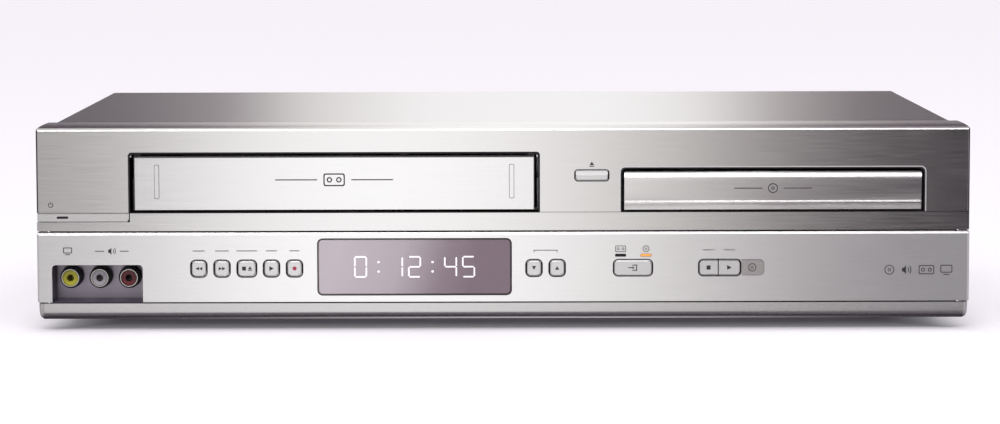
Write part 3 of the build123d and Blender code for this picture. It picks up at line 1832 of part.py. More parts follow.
with BuildPart() as disc_tray:
    block(
        disc_x - tray_half_width,
        disc_x + tray_half_width,
        tray_front_y,
        front_y + tray_rear,
        tray_bottom,
        tray_top,
    )
    fillet(disc_tray.edges().filter_by(Axis.Z).group_by(Axis.Y)[-1], 5.0)
    post(disc_x, disc_y, disc_radius + 1.0, tray_top - recess_depth_disc, tray_top + 1, Mode.SUBTRACT)
    post(
        disc_x,
        disc_y,
        small_disc_radius + 1.0,
        tray_top - recess_depth_disc - small_recess_depth,
        tray_top,
        Mode.SUBTRACT,
    )
    with BuildSketch(at_z(tray_bottom)):
        with Locations((disc_x, disc_y)):
            Circle(slot_half)
        with Locations((disc_x, (disc_y + front_y + tray_rear) / 2)):
            Rectangle(2 * slot_half, front_y + tray_rear - disc_y)
    extrude(amount=tray_thickness - recess_depth_disc, mode=Mode.SUBTRACT)
    with BuildSketch(at_z(tray_bottom)):
        with Locations((disc_x, (disc_y + front_y + tray_rear - 6.0) / 2)):
            Rectangle(2 * slot_half, front_y + tray_rear - 6.0 - disc_y)
    extrude(amount=tray_thickness, mode=Mode.SUBTRACT)
    for side in (-1, 1):
        near = disc_x + side * tray_half_width
        far = near + side * runner_width
        block(
            min(near, far),
            max(near, far),
            loader_front + 1.0,
            front_y + tray_rear - 5.0,
            tray_bottom,
            tray_bottom + runner_height,
        )
    with BuildSketch(at_z(tray_bottom - rack_thickness)):
        with BuildLine():
            Polyline(*rack_outline(loader_front + 2.0, front_y + tray_rear - 1.0), close=True)
        make_face()
    extrude(amount=rack_thickness)
save(disc_tray.part, "disc_tray")

front_bottom = strip_top + 0.9
front_top = disc_opening_top - 1.6
front_half = disc_opening_width / 2 - tray_gap

with BuildPart() as tray_front:
    with BuildSketch(at_x(disc_x)):
        with BuildLine():
            Line((tray_front_y, front_bottom), (tray_front_y, front_top))
            Line((tray_front_y, front_top), (front_y + 1.9, front_top))
            ThreePointArc(
                (front_y + 1.9, front_top),
                (front_y + 0.8, front_top - 1.6),
                (front_y + 0.3, front_top - 4.6),
            )
            ThreePointArc(
                (front_y + 0.3, front_top - 4.6),
                (front_y + 0.7, front_top - 9.2),
                (front_y + 1.7, front_top - 13.6),
            )
            Polyline(
                (front_y + 1.7, front_top - 13.6),
                (front_y + 0.9, front_top - 14.4),
                (front_y + 0.9, front_top - 14.9),
                (front_y + 2.0, front_top - 15.6),
                (front_y + 1.6, front_bottom),
                (tray_front_y, front_bottom),
            )
        make_face()
    extrude(amount=front_half, both=True)
save(tray_front.part, "tray_front")


def involute_gear(teeth, module, turn):
    """Outline points of a spur gear about the origin, with involute flanks."""
    pitch = teeth * module / 2
    base = pitch * cos(radians(pressure_angle))
    tip = pitch + 0.9 * module
    root = pitch - 1.25 * module
    spread = sqrt((pitch / base) ** 2 - 1) - acos(base / pitch)
    half_tooth = pi / (2 * teeth) - backlash / (2 * pitch)
    points = []
    for tooth in range(teeth):
        middle = radians(turn) + 2 * pi * tooth / teeth
        flank = []
        for radius in (base, (base + pitch) / 2, pitch, (pitch + tip) / 2, tip):
            roll = sqrt(max((radius / base) ** 2 - 1, 0.0))
            flank.append((radius, half_tooth + spread - (roll - acos(base / radius))))
        wide = flank[0][1]
        points.append((root, middle - wide))
        points.extend((radius, middle - half) for radius, half in flank)
        points.extend((radius, middle + half) for radius, half in reversed(flank))
        points.append((root, middle + wide))
    return [(radius * cos(angle), radius * sin(angle)) for radius, angle in points]


with BuildPart() as tray_pinion:
    with BuildSketch(Plane(origin=(pinion_x, pinion_y, tray_bottom - rack_thickness))):
        with BuildLine():
            Polyline(*involute_gear(pinion_teeth, rack_module, 180.0), close=True)
        make_face()
    extrude(amount=rack_thickness - slack)
    post(pinion_x, pinion_y, 4.5, loader_floor_top + slack, tray_bottom - rack_thickness)
    post(pinion_x, pinion_y, 8.0, loader_floor_top + slack, loader_floor_top + 3.5)
    post(
        pinion_x,
        pinion_y,
        pinion_post + running,
        loader_floor_top,
        tray_bottom - 1.0 + 0.2,
        Mode.SUBTRACT,
    )
save(tray_pinion.part, "tray_pinion")

bridge_hole = 12.6
puck_bottom = tray_top + 0.8
bridge_thickness = 1.2

with BuildPart() as clamp_bridge:
    with BuildSketch(at_z(bridge_height)):
        with Locations((disc_x, disc_y)):
            Rectangle(2 * loader_half, 24.0)
            Circle(bridge_half_depth + 4.0)
            Circle(bridge_hole, mode=Mode.SUBTRACT)
    extrude(amount=bridge_thickness)
save(clamp_bridge.part, "clamp_bridge")

with BuildPart() as disc_clamp:
    post(disc_x, disc_y, 15.0, puck_bottom, bridge_height - slack)
    post(disc_x, disc_y, bridge_hole - 0.4, bridge_height - slack, bridge_height + bridge_thickness)
    post(
        disc_x,
        disc_y,
        15.0,
        bridge_height + bridge_thickness + slack,
        bridge_height + bridge_thickness + 2.0,
    )
    post(
        disc_x,
        disc_y,
        bridge_hole - 0.4,
        bridge_height,
        bridge_height + bridge_thickness + 1.0,
    )
    post(disc_x, disc_y, 8.6, puck_bottom, puck_bottom + 1.8, Mode.SUBTRACT)
save(disc_clamp.part, "disc_clamp")

# Traverse: hinged at its back, it hangs a few degrees down and lifts to meet the disc.
dip = radians(traverse_tilt)
traverse_plane = Plane(
    origin=(disc_x, pivot_y, pivot_height), x_dir=(1, 0, 0), z_dir=(0, -sin(dip), cos(dip))
)
plate_half = 38.0
plate_front = -swing_length - 20.0
plate_thickness = 3.0
rod_x = 22.5
rod_height = 2.5
sled_rod_radius = 1.5
screw_x = 28.5
sled_screw_radius = 1.6
opening_front = -swing_length + turntable_radius
lens_y = -swing_length + sled_inner
pickup_front = lens_y - 6.0
pickup_back = lens_y + 18.0
opening_back = pickup_back + sled_travel + 6.0
carrier_block = 4.0
screw_overhang = 4.0


def on_traverse(height):
    """Plane of the traverse at this height: local y runs back along it from the hinge."""
    return traverse_plane.offset(height)


def slab(x0, x1, y0, y1, z0, z1, mode=Mode.ADD):
    """A block on the traverse, in the part being built."""
    with BuildSketch(on_traverse(z0)) as outline:
        with Locations(((x0 + x1) / 2, (y0 + y1) / 2)):
            Rectangle(x1 - x0, y1 - y0)
    extrude(outline.sketch, amount=z1 - z0, mode=mode)


def along_traverse(x, z, radius, y0, y1, mode=Mode.ADD):
    """A round rod along the traverse, in the part being built."""
    plane = Plane(
        origin=traverse_plane.from_local_coords((x, y0, z)),
        x_dir=(1, 0, 0),
        z_dir=traverse_plane.y_dir,
    )
    with BuildSketch(plane) as outline:
        Circle(radius)
    extrude(outline.sketch, amount=y1 - y0, mode=mode)


with BuildPart() as traverse_frame:
    slab(-plate_half, plate_half, plate_front, 3.0, -plate_thickness / 2, plate_thickness / 2)
    slab(
        -plate_half + 7.0,
        plate_half - 5.0,
        opening_front,
        opening_back,
        -plate_thickness,
        plate_thickness,
        Mode.SUBTRACT,
    )
    slab(-plate_half + 3.0, plate_half - 3.0, -2.0, 2.0, -2.0, 2.0)
    with BuildSketch(on_traverse(-plate_thickness)):
        with Locations((0, -swing_length)):
            Circle(1.0 + running)
    extrude(amount=2 * plate_thickness, mode=Mode.SUBTRACT)
    # Blocks that hold the rods and the screw's ends.
    for y0, y1 in (
        (opening_front - carrier_block, opening_front),
        (opening_back, opening_back + carrier_block),
    ):
        slab(-rod_x - 3.0, -rod_x + 3.0, y0, y1, 0.0, rod_height + 2.0)
        slab(rod_x - 3.0, screw_x + 3.5, y0, y1, 0.0, rod_height + 2.0)
    for x in (-rod_x, rod_x):
        along_traverse(x, rod_height, sled_rod_radius, opening_front - 2.0, opening_back + 2.0)
    along_traverse(
        screw_x,
        rod_height,
        sled_screw_radius + running,
        opening_front - carrier_block - 1.0,
        opening_back + carrier_block + screw_overhang + 1.0,
        Mode.SUBTRACT,
    )
    for side in (-1, 1):
        start = disc_x + side * (plate_half - 1.0)
        end = disc_x + side * (lug_x + lug_width)
        pin_along_x(pivot_y, pivot_height, hinge_radius, min(start, end), max(start, end))
save(traverse_frame.part, "traverse_frame")

with BuildPart() as sled_screw:
    along_traverse(
        screw_x,
        rod_height,
        sled_screw_radius,
        opening_front - carrier_block,
        opening_back + carrier_block + screw_overhang,
    )
save(sled_screw.part, "sled_screw")

support_height = 12.3

with BuildPart() as turntable:
    for radius, z0, z1 in (
        (1.0, -plate_thickness / 2, 2.0),
        (13.0, plate_thickness / 2 + slack, support_height - 2.0),
        (turntable_radius, support_height - 2.0, support_height),
        (7.4, support_height, support_height + 2.2),
    ):
        with BuildSketch(on_traverse(z0)):
            with Locations((0, -swing_length)):
                Circle(radius)
        extrude(amount=z1 - z0)
    chamfer(turntable.edges().sort_by(Axis.Z)[-1], 1.2)
save(turntable.part, "turntable")

with BuildPart() as optical_pickup:
    slab(-19.0, 19.0, pickup_front, pickup_back, -2.0, 8.5)
    slab(
        -rod_x - 3.0, rod_x + 3.0, pickup_front + 4.0, pickup_back - 4.0, 0.0, rod_height + 2.1
    )
    for x in (-rod_x, rod_x):
        along_traverse(
            x, rod_height, sled_rod_radius + running, pickup_front, pickup_back, Mode.SUBTRACT
        )
    with BuildSketch(on_traverse(8.5)):
        with Locations((0, lens_y)):
            Circle(5.0)
    extrude(amount=1.2)
    with BuildSketch(on_traverse(9.7)):
        with Locations((0, lens_y)):
            Circle(2.6)
    extrude(amount=0.8)
save(optical_pickup.part, "optical_pickup")

with BuildPart() as drive_motors:
    post(disc_x - 20.0, pinion_y + 4.0, 9.0, loader_floor_top, tray_bottom - 4.0)
    post(cassette_x - 84.0, capstan_y + 26.0, 8.0, deck_top, deck_top + 18.0)
save(drive_motors.part, "drive_motors")
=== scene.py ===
import math

import bpy
import numpy as np
from mathutils import Matrix, Vector


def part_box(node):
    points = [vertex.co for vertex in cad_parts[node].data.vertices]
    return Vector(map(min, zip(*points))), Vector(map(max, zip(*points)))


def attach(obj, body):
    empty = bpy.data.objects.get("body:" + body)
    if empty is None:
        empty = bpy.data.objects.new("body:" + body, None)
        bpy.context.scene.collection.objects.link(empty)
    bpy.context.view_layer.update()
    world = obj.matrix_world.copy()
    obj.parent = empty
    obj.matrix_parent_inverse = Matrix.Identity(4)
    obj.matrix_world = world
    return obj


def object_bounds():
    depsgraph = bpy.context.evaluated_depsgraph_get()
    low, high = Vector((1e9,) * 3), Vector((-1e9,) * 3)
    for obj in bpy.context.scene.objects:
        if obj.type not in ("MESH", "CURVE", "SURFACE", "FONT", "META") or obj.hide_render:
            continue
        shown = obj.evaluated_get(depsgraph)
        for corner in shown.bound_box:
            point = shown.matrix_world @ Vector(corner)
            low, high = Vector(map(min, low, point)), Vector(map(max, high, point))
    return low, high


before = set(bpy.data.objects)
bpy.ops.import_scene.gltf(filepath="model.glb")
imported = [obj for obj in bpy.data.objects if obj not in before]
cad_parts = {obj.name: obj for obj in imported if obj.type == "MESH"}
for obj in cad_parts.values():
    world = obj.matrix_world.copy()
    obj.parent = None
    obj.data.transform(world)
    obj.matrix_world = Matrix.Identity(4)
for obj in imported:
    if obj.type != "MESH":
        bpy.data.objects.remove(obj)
cad_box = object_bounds()

# A disc player and video cassette recorder in one low case. Shapes are worked out in
# millimetres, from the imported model's own boxes, and become metres where a mesh is made.

MM = 0.001
PROUD = 0.04      # how far printed ink stands off the surface that carries it
SUNK = 0.03       # and how far its back edge goes into that surface
ROUND_STEPS = 10  # points in each rounded corner of an outline


# ---- Where the CAD pieces are, in millimetres ----


def box_mm(node):
    """A node's lowest and highest corners at rest, in millimetres."""
    low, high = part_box(node)
    return np.array(low) / MM, np.array(high) / MM


def centre_of(node, upward=2):
    """Middle of a node's box seen from the front, as x and z, or as x and another axis."""
    low, high = box_mm(node)
    middle = (low + high) / 2
    return middle[0], middle[upward]


UPPER_LOW, UPPER_HIGH = box_mm("upper_fascia")
FLAP_LOW, FLAP_HIGH = box_mm("cassette_flap")
TRAY_LOW, TRAY_HIGH = box_mm("tray_front")
WINDOW_LOW, WINDOW_HIGH = box_mm("display_window")
UPPER_FACE = UPPER_LOW[1]
PANEL_FACE = box_mm("lower_fascia")[0][1]
KEY_FACE = box_mm("play_button")[0][1]
STANDBY_FACE = box_mm("standby_button")[0][1]
BAR_PROUD = 0.3
FLAP_FACE = FLAP_LOW[1] + BAR_PROUD
PANE_FACE = WINDOW_LOW[1]
STEP_DEPTH = 0.8
TRAY_LOWER_GAP = 0.9
STRIP_FACE = UPPER_FACE + STEP_DEPTH
STEP_Z = TRAY_LOW[2] - TRAY_LOWER_GAP
RECESS_DEPTH = 19.2
RECESS_BACK = PANEL_FACE + RECESS_DEPTH
SLEEVE_TIP = box_mm("front_jack_sleeves")[0][1]


# ---- Outlines: closed loops of points in x and z, counter-clockwise from the front ----


def rounded(x, z, width, height, radius):
    """Rounded rectangle: each corner's arc is its centre plus the radius times (cos, sin)."""
    turn = np.linspace(0, math.pi / 2, ROUND_STEPS)
    quarter = np.arange(4)[:, None]
    angle = (quarter * math.pi / 2 + turn).ravel()
    side_x = np.repeat([1, -1, -1, 1], ROUND_STEPS)
    side_z = np.repeat([1, 1, -1, -1], ROUND_STEPS)
    return np.column_stack((
        x + side_x * (width / 2 - radius) + radius * np.cos(angle),
        z + side_z * (height / 2 - radius) + radius * np.sin(angle),
    ))


def polygon(x, z, radius, corners):
    """Regular polygon: points evenly spaced round a circle."""
    angle = np.arange(corners) * 2 * math.pi / corners
    return np.column_stack((x + radius * np.cos(angle), z + radius * np.sin(angle)))


def arrow(x, z, width, height, way):
    """Triangle that points along way, given as a step in x and a step in z."""
    along = np.array(way, float)
    across = np.array((-along[1], along[0]))
    tip = np.array((x, z)) + along * width / 2
    tail = np.array((x, z)) - along * width / 2
    return np.array((tip, tail + across * height / 2, tail - across * height / 2))


def arc(x, z, radius, start, end, steps=24):
    """Open arc: centre plus radius times (cos, sin) of angles from start to end, degrees."""
    angle = np.radians(np.linspace(start, end, steps))
    return np.column_stack((x + radius * np.cos(angle), z + radius * np.sin(angle)))


# ---- Closed shapes made of outlines: each is (points, faces) ----


def flat(y):
    """A flat surface that faces the front at this depth."""
    return lambda x, z: np.full(len(x), y)


def row(outline, surface, sink):
    """An outline laid on a surface: its own x and z, and the surface's y plus the sink."""
    x, z = outline[:, 0], outline[:, 1]
    return np.column_stack((x, surface(x, z) + sink, z))


def between(a, b, count):
    """Quads from one closed row of points to the next."""
    i = np.arange(count)
    j = np.roll(i, -1)
    return np.column_stack((a + i, a + j, b + j, b + i))


def plate(outline, surface, proud=PROUD, sunk=SUNK):
    """Thin filled plate: a front rim and a back rim, each closed by a fan to its middle."""
    count = len(outline)
    middle = outline.mean(axis=0, keepdims=True)
    points = np.vstack((
        row(outline, surface, -proud),
        row(outline, surface, sunk),
        row(middle, surface, -proud),
        row(middle, surface, sunk),
    ))
    i = np.arange(count)
    j = np.roll(i, -1)
    front = np.column_stack((np.full(count, 2 * count), i, j))
    back = np.column_stack((np.full(count, 2 * count + 1), count + j, count + i))
    side = between(count, 0, count)
    return points, [front, back, side]


def four_rows(one, other, surface, proud, sunk):
    """Two outlines as rows: the one's front, the other's front and back, and the one's back."""
    turns = ((one, -proud), (other, -proud), (other, sunk), (one, sunk))
    return np.vstack([row(outline, surface, sink) for outline, sink in turns])


def ring(outer, inner, surface, proud=PROUD, sunk=SUNK):
    """Thin frame between two closed outlines."""
    count = len(outer)
    points = four_rows(outer, inner, surface, proud, sunk)
    faces = [between(start * count, (start + 1) % 4 * count, count) for start in range(4)]
    return points, faces


def edging(x, z, width, height, line, radii, surface, **depths):
    """Rounded frame round an area of this size: radii are its inner and its outer corners'."""
    inner = rounded(x, z, width, height, radii[0])
    outer = rounded(x, z, width + 2 * line, height + 2 * line, radii[1])
    return ring(outer, inner, surface, **depths)


def band(left, right, surface, proud=PROUD, sunk=SUNK):
    """Thin strip between two open paths of the same count, with square ends."""
    count = len(left)
    points = four_rows(right, left, surface, proud, sunk)
    i = np.arange(count - 1)
    faces = []
    for start in range(4):
        a, b = start * count, (start + 1) % 4 * count
        faces.append(np.column_stack((a + i, a + i + 1, b + i + 1, b + i)))
    first = np.arange(4) * count
    faces.append(first[None, :])
    faces.append((first + count - 1)[None, ::-1])
    return points, faces


def stroke(path, width, surface, proud=PROUD, sunk=SUNK):
    """Thin line of even width: a band between the path moved half the width to each side.

    At each point the sideways step is square to the mean of the runs beside it.
    """
    path = np.asarray(path, float)
    along = np.gradient(path, axis=0)
    along = along / np.linalg.norm(along, axis=1, keepdims=True)
    across = np.column_stack((-along[:, 1], along[:, 0])) * width / 2
    return band(path + across, path - across, surface, proud, sunk)


def rule(x0, x1, z, width, surface):
    """Level line from one x to another."""
    return stroke(((x0, z), (x1, z)), width, surface)


def hoop(x, z, radius, line, surface, corners):
    """Circular line: a ring between two regular polygons, the line's width apart."""
    outer, inner = polygon(x, z, radius, corners), polygon(x, z, radius - line, corners)
    return ring(outer, inner, surface)


def stand(name, data):
    """A new object that holds this mesh, lamp or camera, put into the scene."""
    thing = bpy.data.objects.new(name, data)
    bpy.context.scene.collection.objects.link(thing)
    return thing


def piece(name, shapes, body, material):
    """One object of several closed shapes, its points turned from millimetres to metres."""
    points = []
    faces = []
    start = 0
    for shape_points, shape_faces in shapes:
        points.append(shape_points)
        faces.extend((group + start).tolist() for group in shape_faces)
        start += len(shape_points)
    mesh = bpy.data.meshes.new(name)
    mesh.from_pydata((np.vstack(points) * MM).tolist(), [], sum(faces, []))
    mesh.validate()
    mesh.materials.append(material)
    thing = stand(name, mesh)
    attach(thing, body)


# ---- Materials ----


def linear(code):
    """An sRGB hex colour as linear values: the sRGB curve undone, channel by channel."""
    channels = [int(code[i:i + 2], 16) / 255 for i in (1, 3, 5)]
    straight = [c / 12.92 if c <= 0.04045 else ((c + 0.055) / 1.055) ** 2.4 for c in channels]
    return (*straight, 1.0)


def add(tree, kind, inputs=None, stops=None, **settings):
    """One node with its settings, its input values and its links.

    An input is a value, another node's output, or a node, which stands for its first output
    that is in use.
    """
    new = tree.nodes.new(kind)
    for name, value in settings.items():
        setattr(new, name, value)
    for name, value in (inputs or {}).items():
        if isinstance(value, bpy.types.Node):
            value = next(output for output in value.outputs if output.enabled)
        if isinstance(value, bpy.types.NodeSocket):
            tree.links.new(value, new.inputs[name])
        else:
            new.inputs[name].default_value = value
    if stops:
        ramp = new.color_ramp
        while len(ramp.elements) < len(stops):
            ramp.elements.new(0.5)
        for element, (place, code) in zip(ramp.elements, stops):
            element.position = place
            element.color = linear(code)
    return new


def start_material(name):
    """An empty material with its output, and the object's coordinates in metres."""
    material = bpy.data.materials.new(name)
    material.use_nodes = True
    tree = material.node_tree
    tree.nodes.clear()
    where = add(tree, "ShaderNodeTexCoord").outputs["Object"]
    return material, tree, where


def finish_material(material, tree, look, settings):
    """Give the look and the plain settings to one shader, and join it to the output."""
    shader = add(tree, "ShaderNodeBsdfPrincipled", {**look, **settings})
    add(tree, "ShaderNodeOutputMaterial", {"Surface": shader})
    return material


def grain(tree, where, size_mm, stretch=(1, 1, 1), detail=2.0):
    """Noise whose grains measure size_mm, drawn out along an axis by the stretch."""
    scale = [1000 / size_mm / s for s in stretch]
    placed = add(tree, "ShaderNodeMapping", {"Vector": where, "Scale": scale})
    return add(tree, "ShaderNodeTexNoise", {
        "Vector": placed, "Scale": 1.0, "Detail": detail, "Roughness": 0.6,
    })


def worked(tree, pattern, tones, roughness, height_mm=0.0):
    """What one pattern gives a shader: a colour between two tones, a roughness, a relief."""
    low, high = 0.3, 0.7  # most of a noise's values lie between these
    look = {
        "Base Color": add(
            tree, "ShaderNodeValToRGB", {"Fac": pattern}, stops=((low, tones[0]), (high, tones[1]))
        ),
        "Roughness": add(tree, "ShaderNodeMapRange", {
            "Value": pattern, "From Min": low, "From Max": high,
            "To Min": roughness[0], "To Max": roughness[1],
        }),
    }
    if height_mm:
        look["Normal"] = add(
            tree, "ShaderNodeBump", {"Height": pattern, "Distance": height_mm * MM}
        )
    return look


def give_way(tree, look, share, tones, metallic):
    """Let a look's colour and metal turn, as the share grows, from the first to the second."""
    look["Base Color"] = add(
        tree, "ShaderNodeMix", {"Factor": share, "A": tones[0], "B": tones[1]}, data_type="RGBA"
    )
    look["Metallic"] = add(tree, "ShaderNodeMapRange", {
        "Value": share, "To Min": metallic[0], "To Max": metallic[1],
    })


def all_hold(tree, tests):
    """One where every test holds: each is a value, a limit in millimetres, and which side."""
    share = None
    for value, limit, side in tests:
        passed = add(tree, "ShaderNodeMath", {0: value, 1: limit * MM}, operation=side)
        if share is not None:
            passed = add(tree, "ShaderNodeMath", {0: share, 1: passed}, operation="MULTIPLY")
        share = passed
    return share


BARE_ABS_AND_PAINTED_SHADE = "#141316"
END_SHADE_WIDTH = 0.7  # how much of each end's corner is bare black: a painted shade line
END_SHADE_DEPTH = 0.9


def brushed_foil(name, tones, metallic, roughness, front, high, reach):
    """Hot-stamped foil with a brushed finish over a moulded black ABS front.

    It gives fine level lines, and a reflection that is drawn out upwards and stays sharp
    sideways. The foil ends just behind the front: past that depth, under a height and
    inside its ends, the moulding is bare and black, and this also paints the gaps and steps
    there black as shade. It also ends at the very corner of each end, a painted shade line
    down each end. The real lines are 0.1 mm apart; they are drawn 0.5 mm apart to show.
    """
    material, tree, where = start_material(name)
    place = add(tree, "ShaderNodeSeparateXYZ", {"Vector": where})
    off_middle = add(tree, "ShaderNodeMath", {0: place.outputs["X"]}, operation="ABSOLUTE")
    inside = all_hold(tree, (
        (place.outputs["Y"], front, "GREATER_THAN"),
        (place.outputs["Z"], high, "LESS_THAN"),
        (off_middle, reach, "LESS_THAN"),
    ))
    # Painted shade: a bare black line down the very corner of each end.
    corner = all_hold(tree, (
        (off_middle, UPPER_HIGH[0] - END_SHADE_WIDTH, "GREATER_THAN"),
        (place.outputs["Y"], UPPER_FACE + END_SHADE_DEPTH, "LESS_THAN"),
        (place.outputs["Z"], STEP_Z, "GREATER_THAN"),
    ))
    # Bare black behind the front: partly the bare moulding, partly painted shade in the gaps and
    # steps.
    bare = add(tree, "ShaderNodeMath", {0: inside, 1: corner}, operation="MAXIMUM")
    lines = grain(tree, where, 0.5, stretch=(45, 1, 1), detail=3.0)
    look = worked(tree, lines, tones, (roughness - 0.02, roughness + 0.02), 0.0015)
    give_way(tree, look, bare, (look["Base Color"], linear(BARE_ABS_AND_PAINTED_SHADE)), (metallic, 0.0))
    return finish_material(material, tree, look, {"Anisotropic": 0.9, "Anisotropic Rotation": 0.25})


CHIN_SHADE_TOP = 7.8  # where the painted shade starts, going down,
CHIN_SHADE_DARKEST = 5.2  # and where it is darkest, from this height down


def chin_lacquer_painted_shade():
    """Silver lacquer sprayed on the chin from in front, with painted shade that darkens it below.

    It gives an even soft sheen; the painted shade turns it dark on the underside. The real
    flake is under 0.05 mm; it is drawn 0.3 mm high and eight times as long to show.
    """
    material, tree, where = start_material("chin_lacquer_with_painted_shade")
    flake = grain(tree, where, 0.3, stretch=(8, 1, 1))
    look = worked(tree, flake, ("#E8E6E6", "#EEECEC"), (0.19, 0.22))
    height = add(tree, "ShaderNodeSeparateXYZ", {"Vector": where}).outputs["Z"]
    # Painted shade: the lacquer turns darker and fully metal towards the bottom.
    shaded_below = add(tree, "ShaderNodeMapRange", {
        "Value": height, "From Min": CHIN_SHADE_TOP * MM, "From Max": CHIN_SHADE_DARKEST * MM,
    }, interpolation_type="SMOOTHSTEP")
    give_way(tree, look, shaded_below, (look["Base Color"], linear("#7A717D")), (0.78, 1.0))
    return finish_material(material, tree, look, {})


def evenly_worked(name, size_mm, tones, roughness, settings, height_mm=0.0, **pattern):
    """A finish with one pattern all over."""
    material, tree, where = start_material(name)
    look = worked(tree, grain(tree, where, size_mm, **pattern), tones, roughness, height_mm)
    return finish_material(material, tree, look, settings)


def satin_coat(name, tones, metallic, roughness):
    """Sprayed satin metallic lacquer: an even soft sheen over very fine flake.

    The real flake is under 0.05 mm; it is drawn 0.3 mm high and eight times as long, as
    the spray was drawn along the moulding, to show.
    """
    spread = (roughness - 0.02, roughness + 0.02)
    return evenly_worked(name, 0.3, tones, spread, {"Metallic": metallic}, stretch=(8, 1, 1))


def speckled_cover_paint():
    """Steel cover in stoved metallic paint: a fine bright speckle that shows at low angles.

    The real speckle is about 0.3 mm; it is drawn 0.9 mm across to show.
    """
    return evenly_worked(
        "stoved_metallic_paint_on_steel", 0.9, ("#D0CDD0", "#E8E6E7"), (0.18, 0.26),
        {"Metallic": 0.96}, height_mm=0.004, detail=3.0,
    )


def zinc_plated_sheet():
    """Pressed steel sheet, zinc plated: pale grey with a faint cloudy bloom."""
    material, tree, where = start_material("zinc_plated_pressed_steel")
    bloom = grain(tree, where, 14.0, detail=4.0)
    look = worked(tree, bloom, ("#B4B7BA", "#CFD1D2"), (0.30, 0.48))
    ripple = grain(tree, where, 0.8)
    look["Normal"] = add(tree, "ShaderNodeBump", {"Height": ripple, "Distance": 0.004 * MM})
    return finish_material(material, tree, look, {"Metallic": 1.0})


def moulded(name, tones, roughness=0.5, texture_mm=0.7, depth_mm=0.02):
    """Injection-moulded plastic with a spark-eroded texture, drawn at texture_mm."""
    spread = (roughness - 0.06, roughness + 0.06)
    return evenly_worked(name, texture_mm, tones, spread, {}, depth_mm)


def toned_by_depth(name, front_tone, back_tone, depth, fade, metallic, roughness):
    """One tone at the front that turns into another, past a depth and over a short fade: painted
    light and shade by depth.

    The share of metal in the lacquer or plating turns with it, from the first to the second.
    """
    material, tree, where = start_material(name)
    place = add(tree, "ShaderNodeSeparateXYZ", {"Vector": where})
    behind = add(tree, "ShaderNodeMapRange", {
        "Value": place.outputs["Y"], "From Min": depth * MM, "From Max": (depth + fade) * MM,
    })
    texture = grain(tree, where, 0.7)
    spread = (roughness - 0.04, roughness + 0.04)
    look = worked(tree, texture, (front_tone, back_tone), spread, 0.004)
    give_way(tree, look, behind, (linear(front_tone), linear(back_tone)), metallic)
    return finish_material(material, tree, look, {})


def polished_insert(name, tones):
    """Glossy coloured plastic moulding with a polished face."""
    return evenly_worked(name, 3.0, tones, (0.2, 0.26), {"Coat Weight": 0.4})


def plated(name, tones, roughness):
    """Plated or blackened metal: a bright even mirror with faint drawing marks."""
    spread = (roughness - 0.04, roughness + 0.06)
    return evenly_worked(name, 0.5, tones, spread, {"Metallic": 1.0}, stretch=(1, 6, 1))


def turned(name, tones, axis_x, axis_y):
    """Turned metal: fine rings round the upright axis that the piece was turned on.

    The real cuts are 0.05 mm apart; the rings are drawn 0.8 mm apart to show.
    """
    material, tree, where = start_material(name)
    centred = add(tree, "ShaderNodeMapping", {
        "Vector": where, "Location": (-axis_x * MM, -axis_y * MM, 0),
    })
    waves_per_unit = math.pi / 10
    rings = add(tree, "ShaderNodeTexWave", {
        "Vector": centred, "Scale": waves_per_unit / (0.8 * MM),
        "Distortion": 0.6, "Detail": 2.0,
    }, wave_type="RINGS", rings_direction="Z").outputs["Fac"]
    look = worked(tree, rings, tones, (0.22, 0.36), 0.004)
    return finish_material(material, tree, look, {"Metallic": 1.0})


def circuit_laminate():
    """Glass-epoxy board under green solder mask: faint lighter tracks on a regular pitch."""
    material, tree, where = start_material("solder_masked_laminate")
    tracks = add(tree, "ShaderNodeTexBrick", {
        "Vector": where, "Scale": 1 / MM, "Mortar Size": 0.5, "Brick Width": 14.0,
        "Row Height": 2.54, "Color1": linear("#2F5A3C"), "Color2": linear("#2A5236"),
        "Mortar": linear("#4A7C55"),
    })
    look = worked(tree, grain(tree, where, 2.0), ("#2F5A3C", "#2A5236"), (0.36, 0.44), 0.02)
    look["Base Color"] = tracks
    return finish_material(material, tree, look, {"Coat Weight": 0.3})


def pane_painted_reflection():
    """Smoked acrylic pane, metallised behind, with a painted reflection: pale at the left and
    deep mauve at the right.

    The painted reflection's tone follows the share of the width, plus a little for each step
    down, so its bands lean.
    """
    material, tree, where = start_material("smoked_acrylic_painted_reflection")
    width = WINDOW_HIGH[0] - WINDOW_LOW[0]
    lean, lift = -3.0, 0.10
    level = add(tree, "ShaderNodeMapping", {
        "Vector": where,
        "Location": (-WINDOW_LOW[0] / width, 0, lift),
        "Scale": (1 / (width * MM), 1, lean),
    })
    axes = add(tree, "ShaderNodeSeparateXYZ", {"Vector": level})
    across = add(
        tree, "ShaderNodeMath", {0: axes.outputs["X"], 1: axes.outputs["Z"]}, operation="ADD"
    )
    look = worked(tree, grain(tree, where, 1.5), ("#D9CFD4", "#95858D"), (0.18, 0.24))
    # The painted reflection: a tone by place across the pane.
    look["Base Color"] = add(tree, "ShaderNodeValToRGB", {"Fac": across}, stops=(
        (0.10, "#D1C8CC"), (0.42, "#C4BABF"), (0.66, "#998B92"), (0.82, "#8B7B83"),
    ))
    return finish_material(material, tree, look, {"Specular IOR Level": 0.2})


def ink_or_painted_shade(name, tones):
    """Pad-printed ink, or painted shade in the same matt film: matt, with the slight unevenness of
    a thin film.
    """
    return evenly_worked(name, 1.5, tones, (0.5, 0.65), {})


def lit(name, tones, strength):
    """A lit part: its own colour glows evenly through a frosted face."""
    material, tree, where = start_material(name)
    look = worked(tree, grain(tree, where, 2.0), tones, (0.4, 0.5))
    look["Emission Color"] = look["Base Color"]
    return finish_material(material, tree, look, {"Emission Strength": strength})
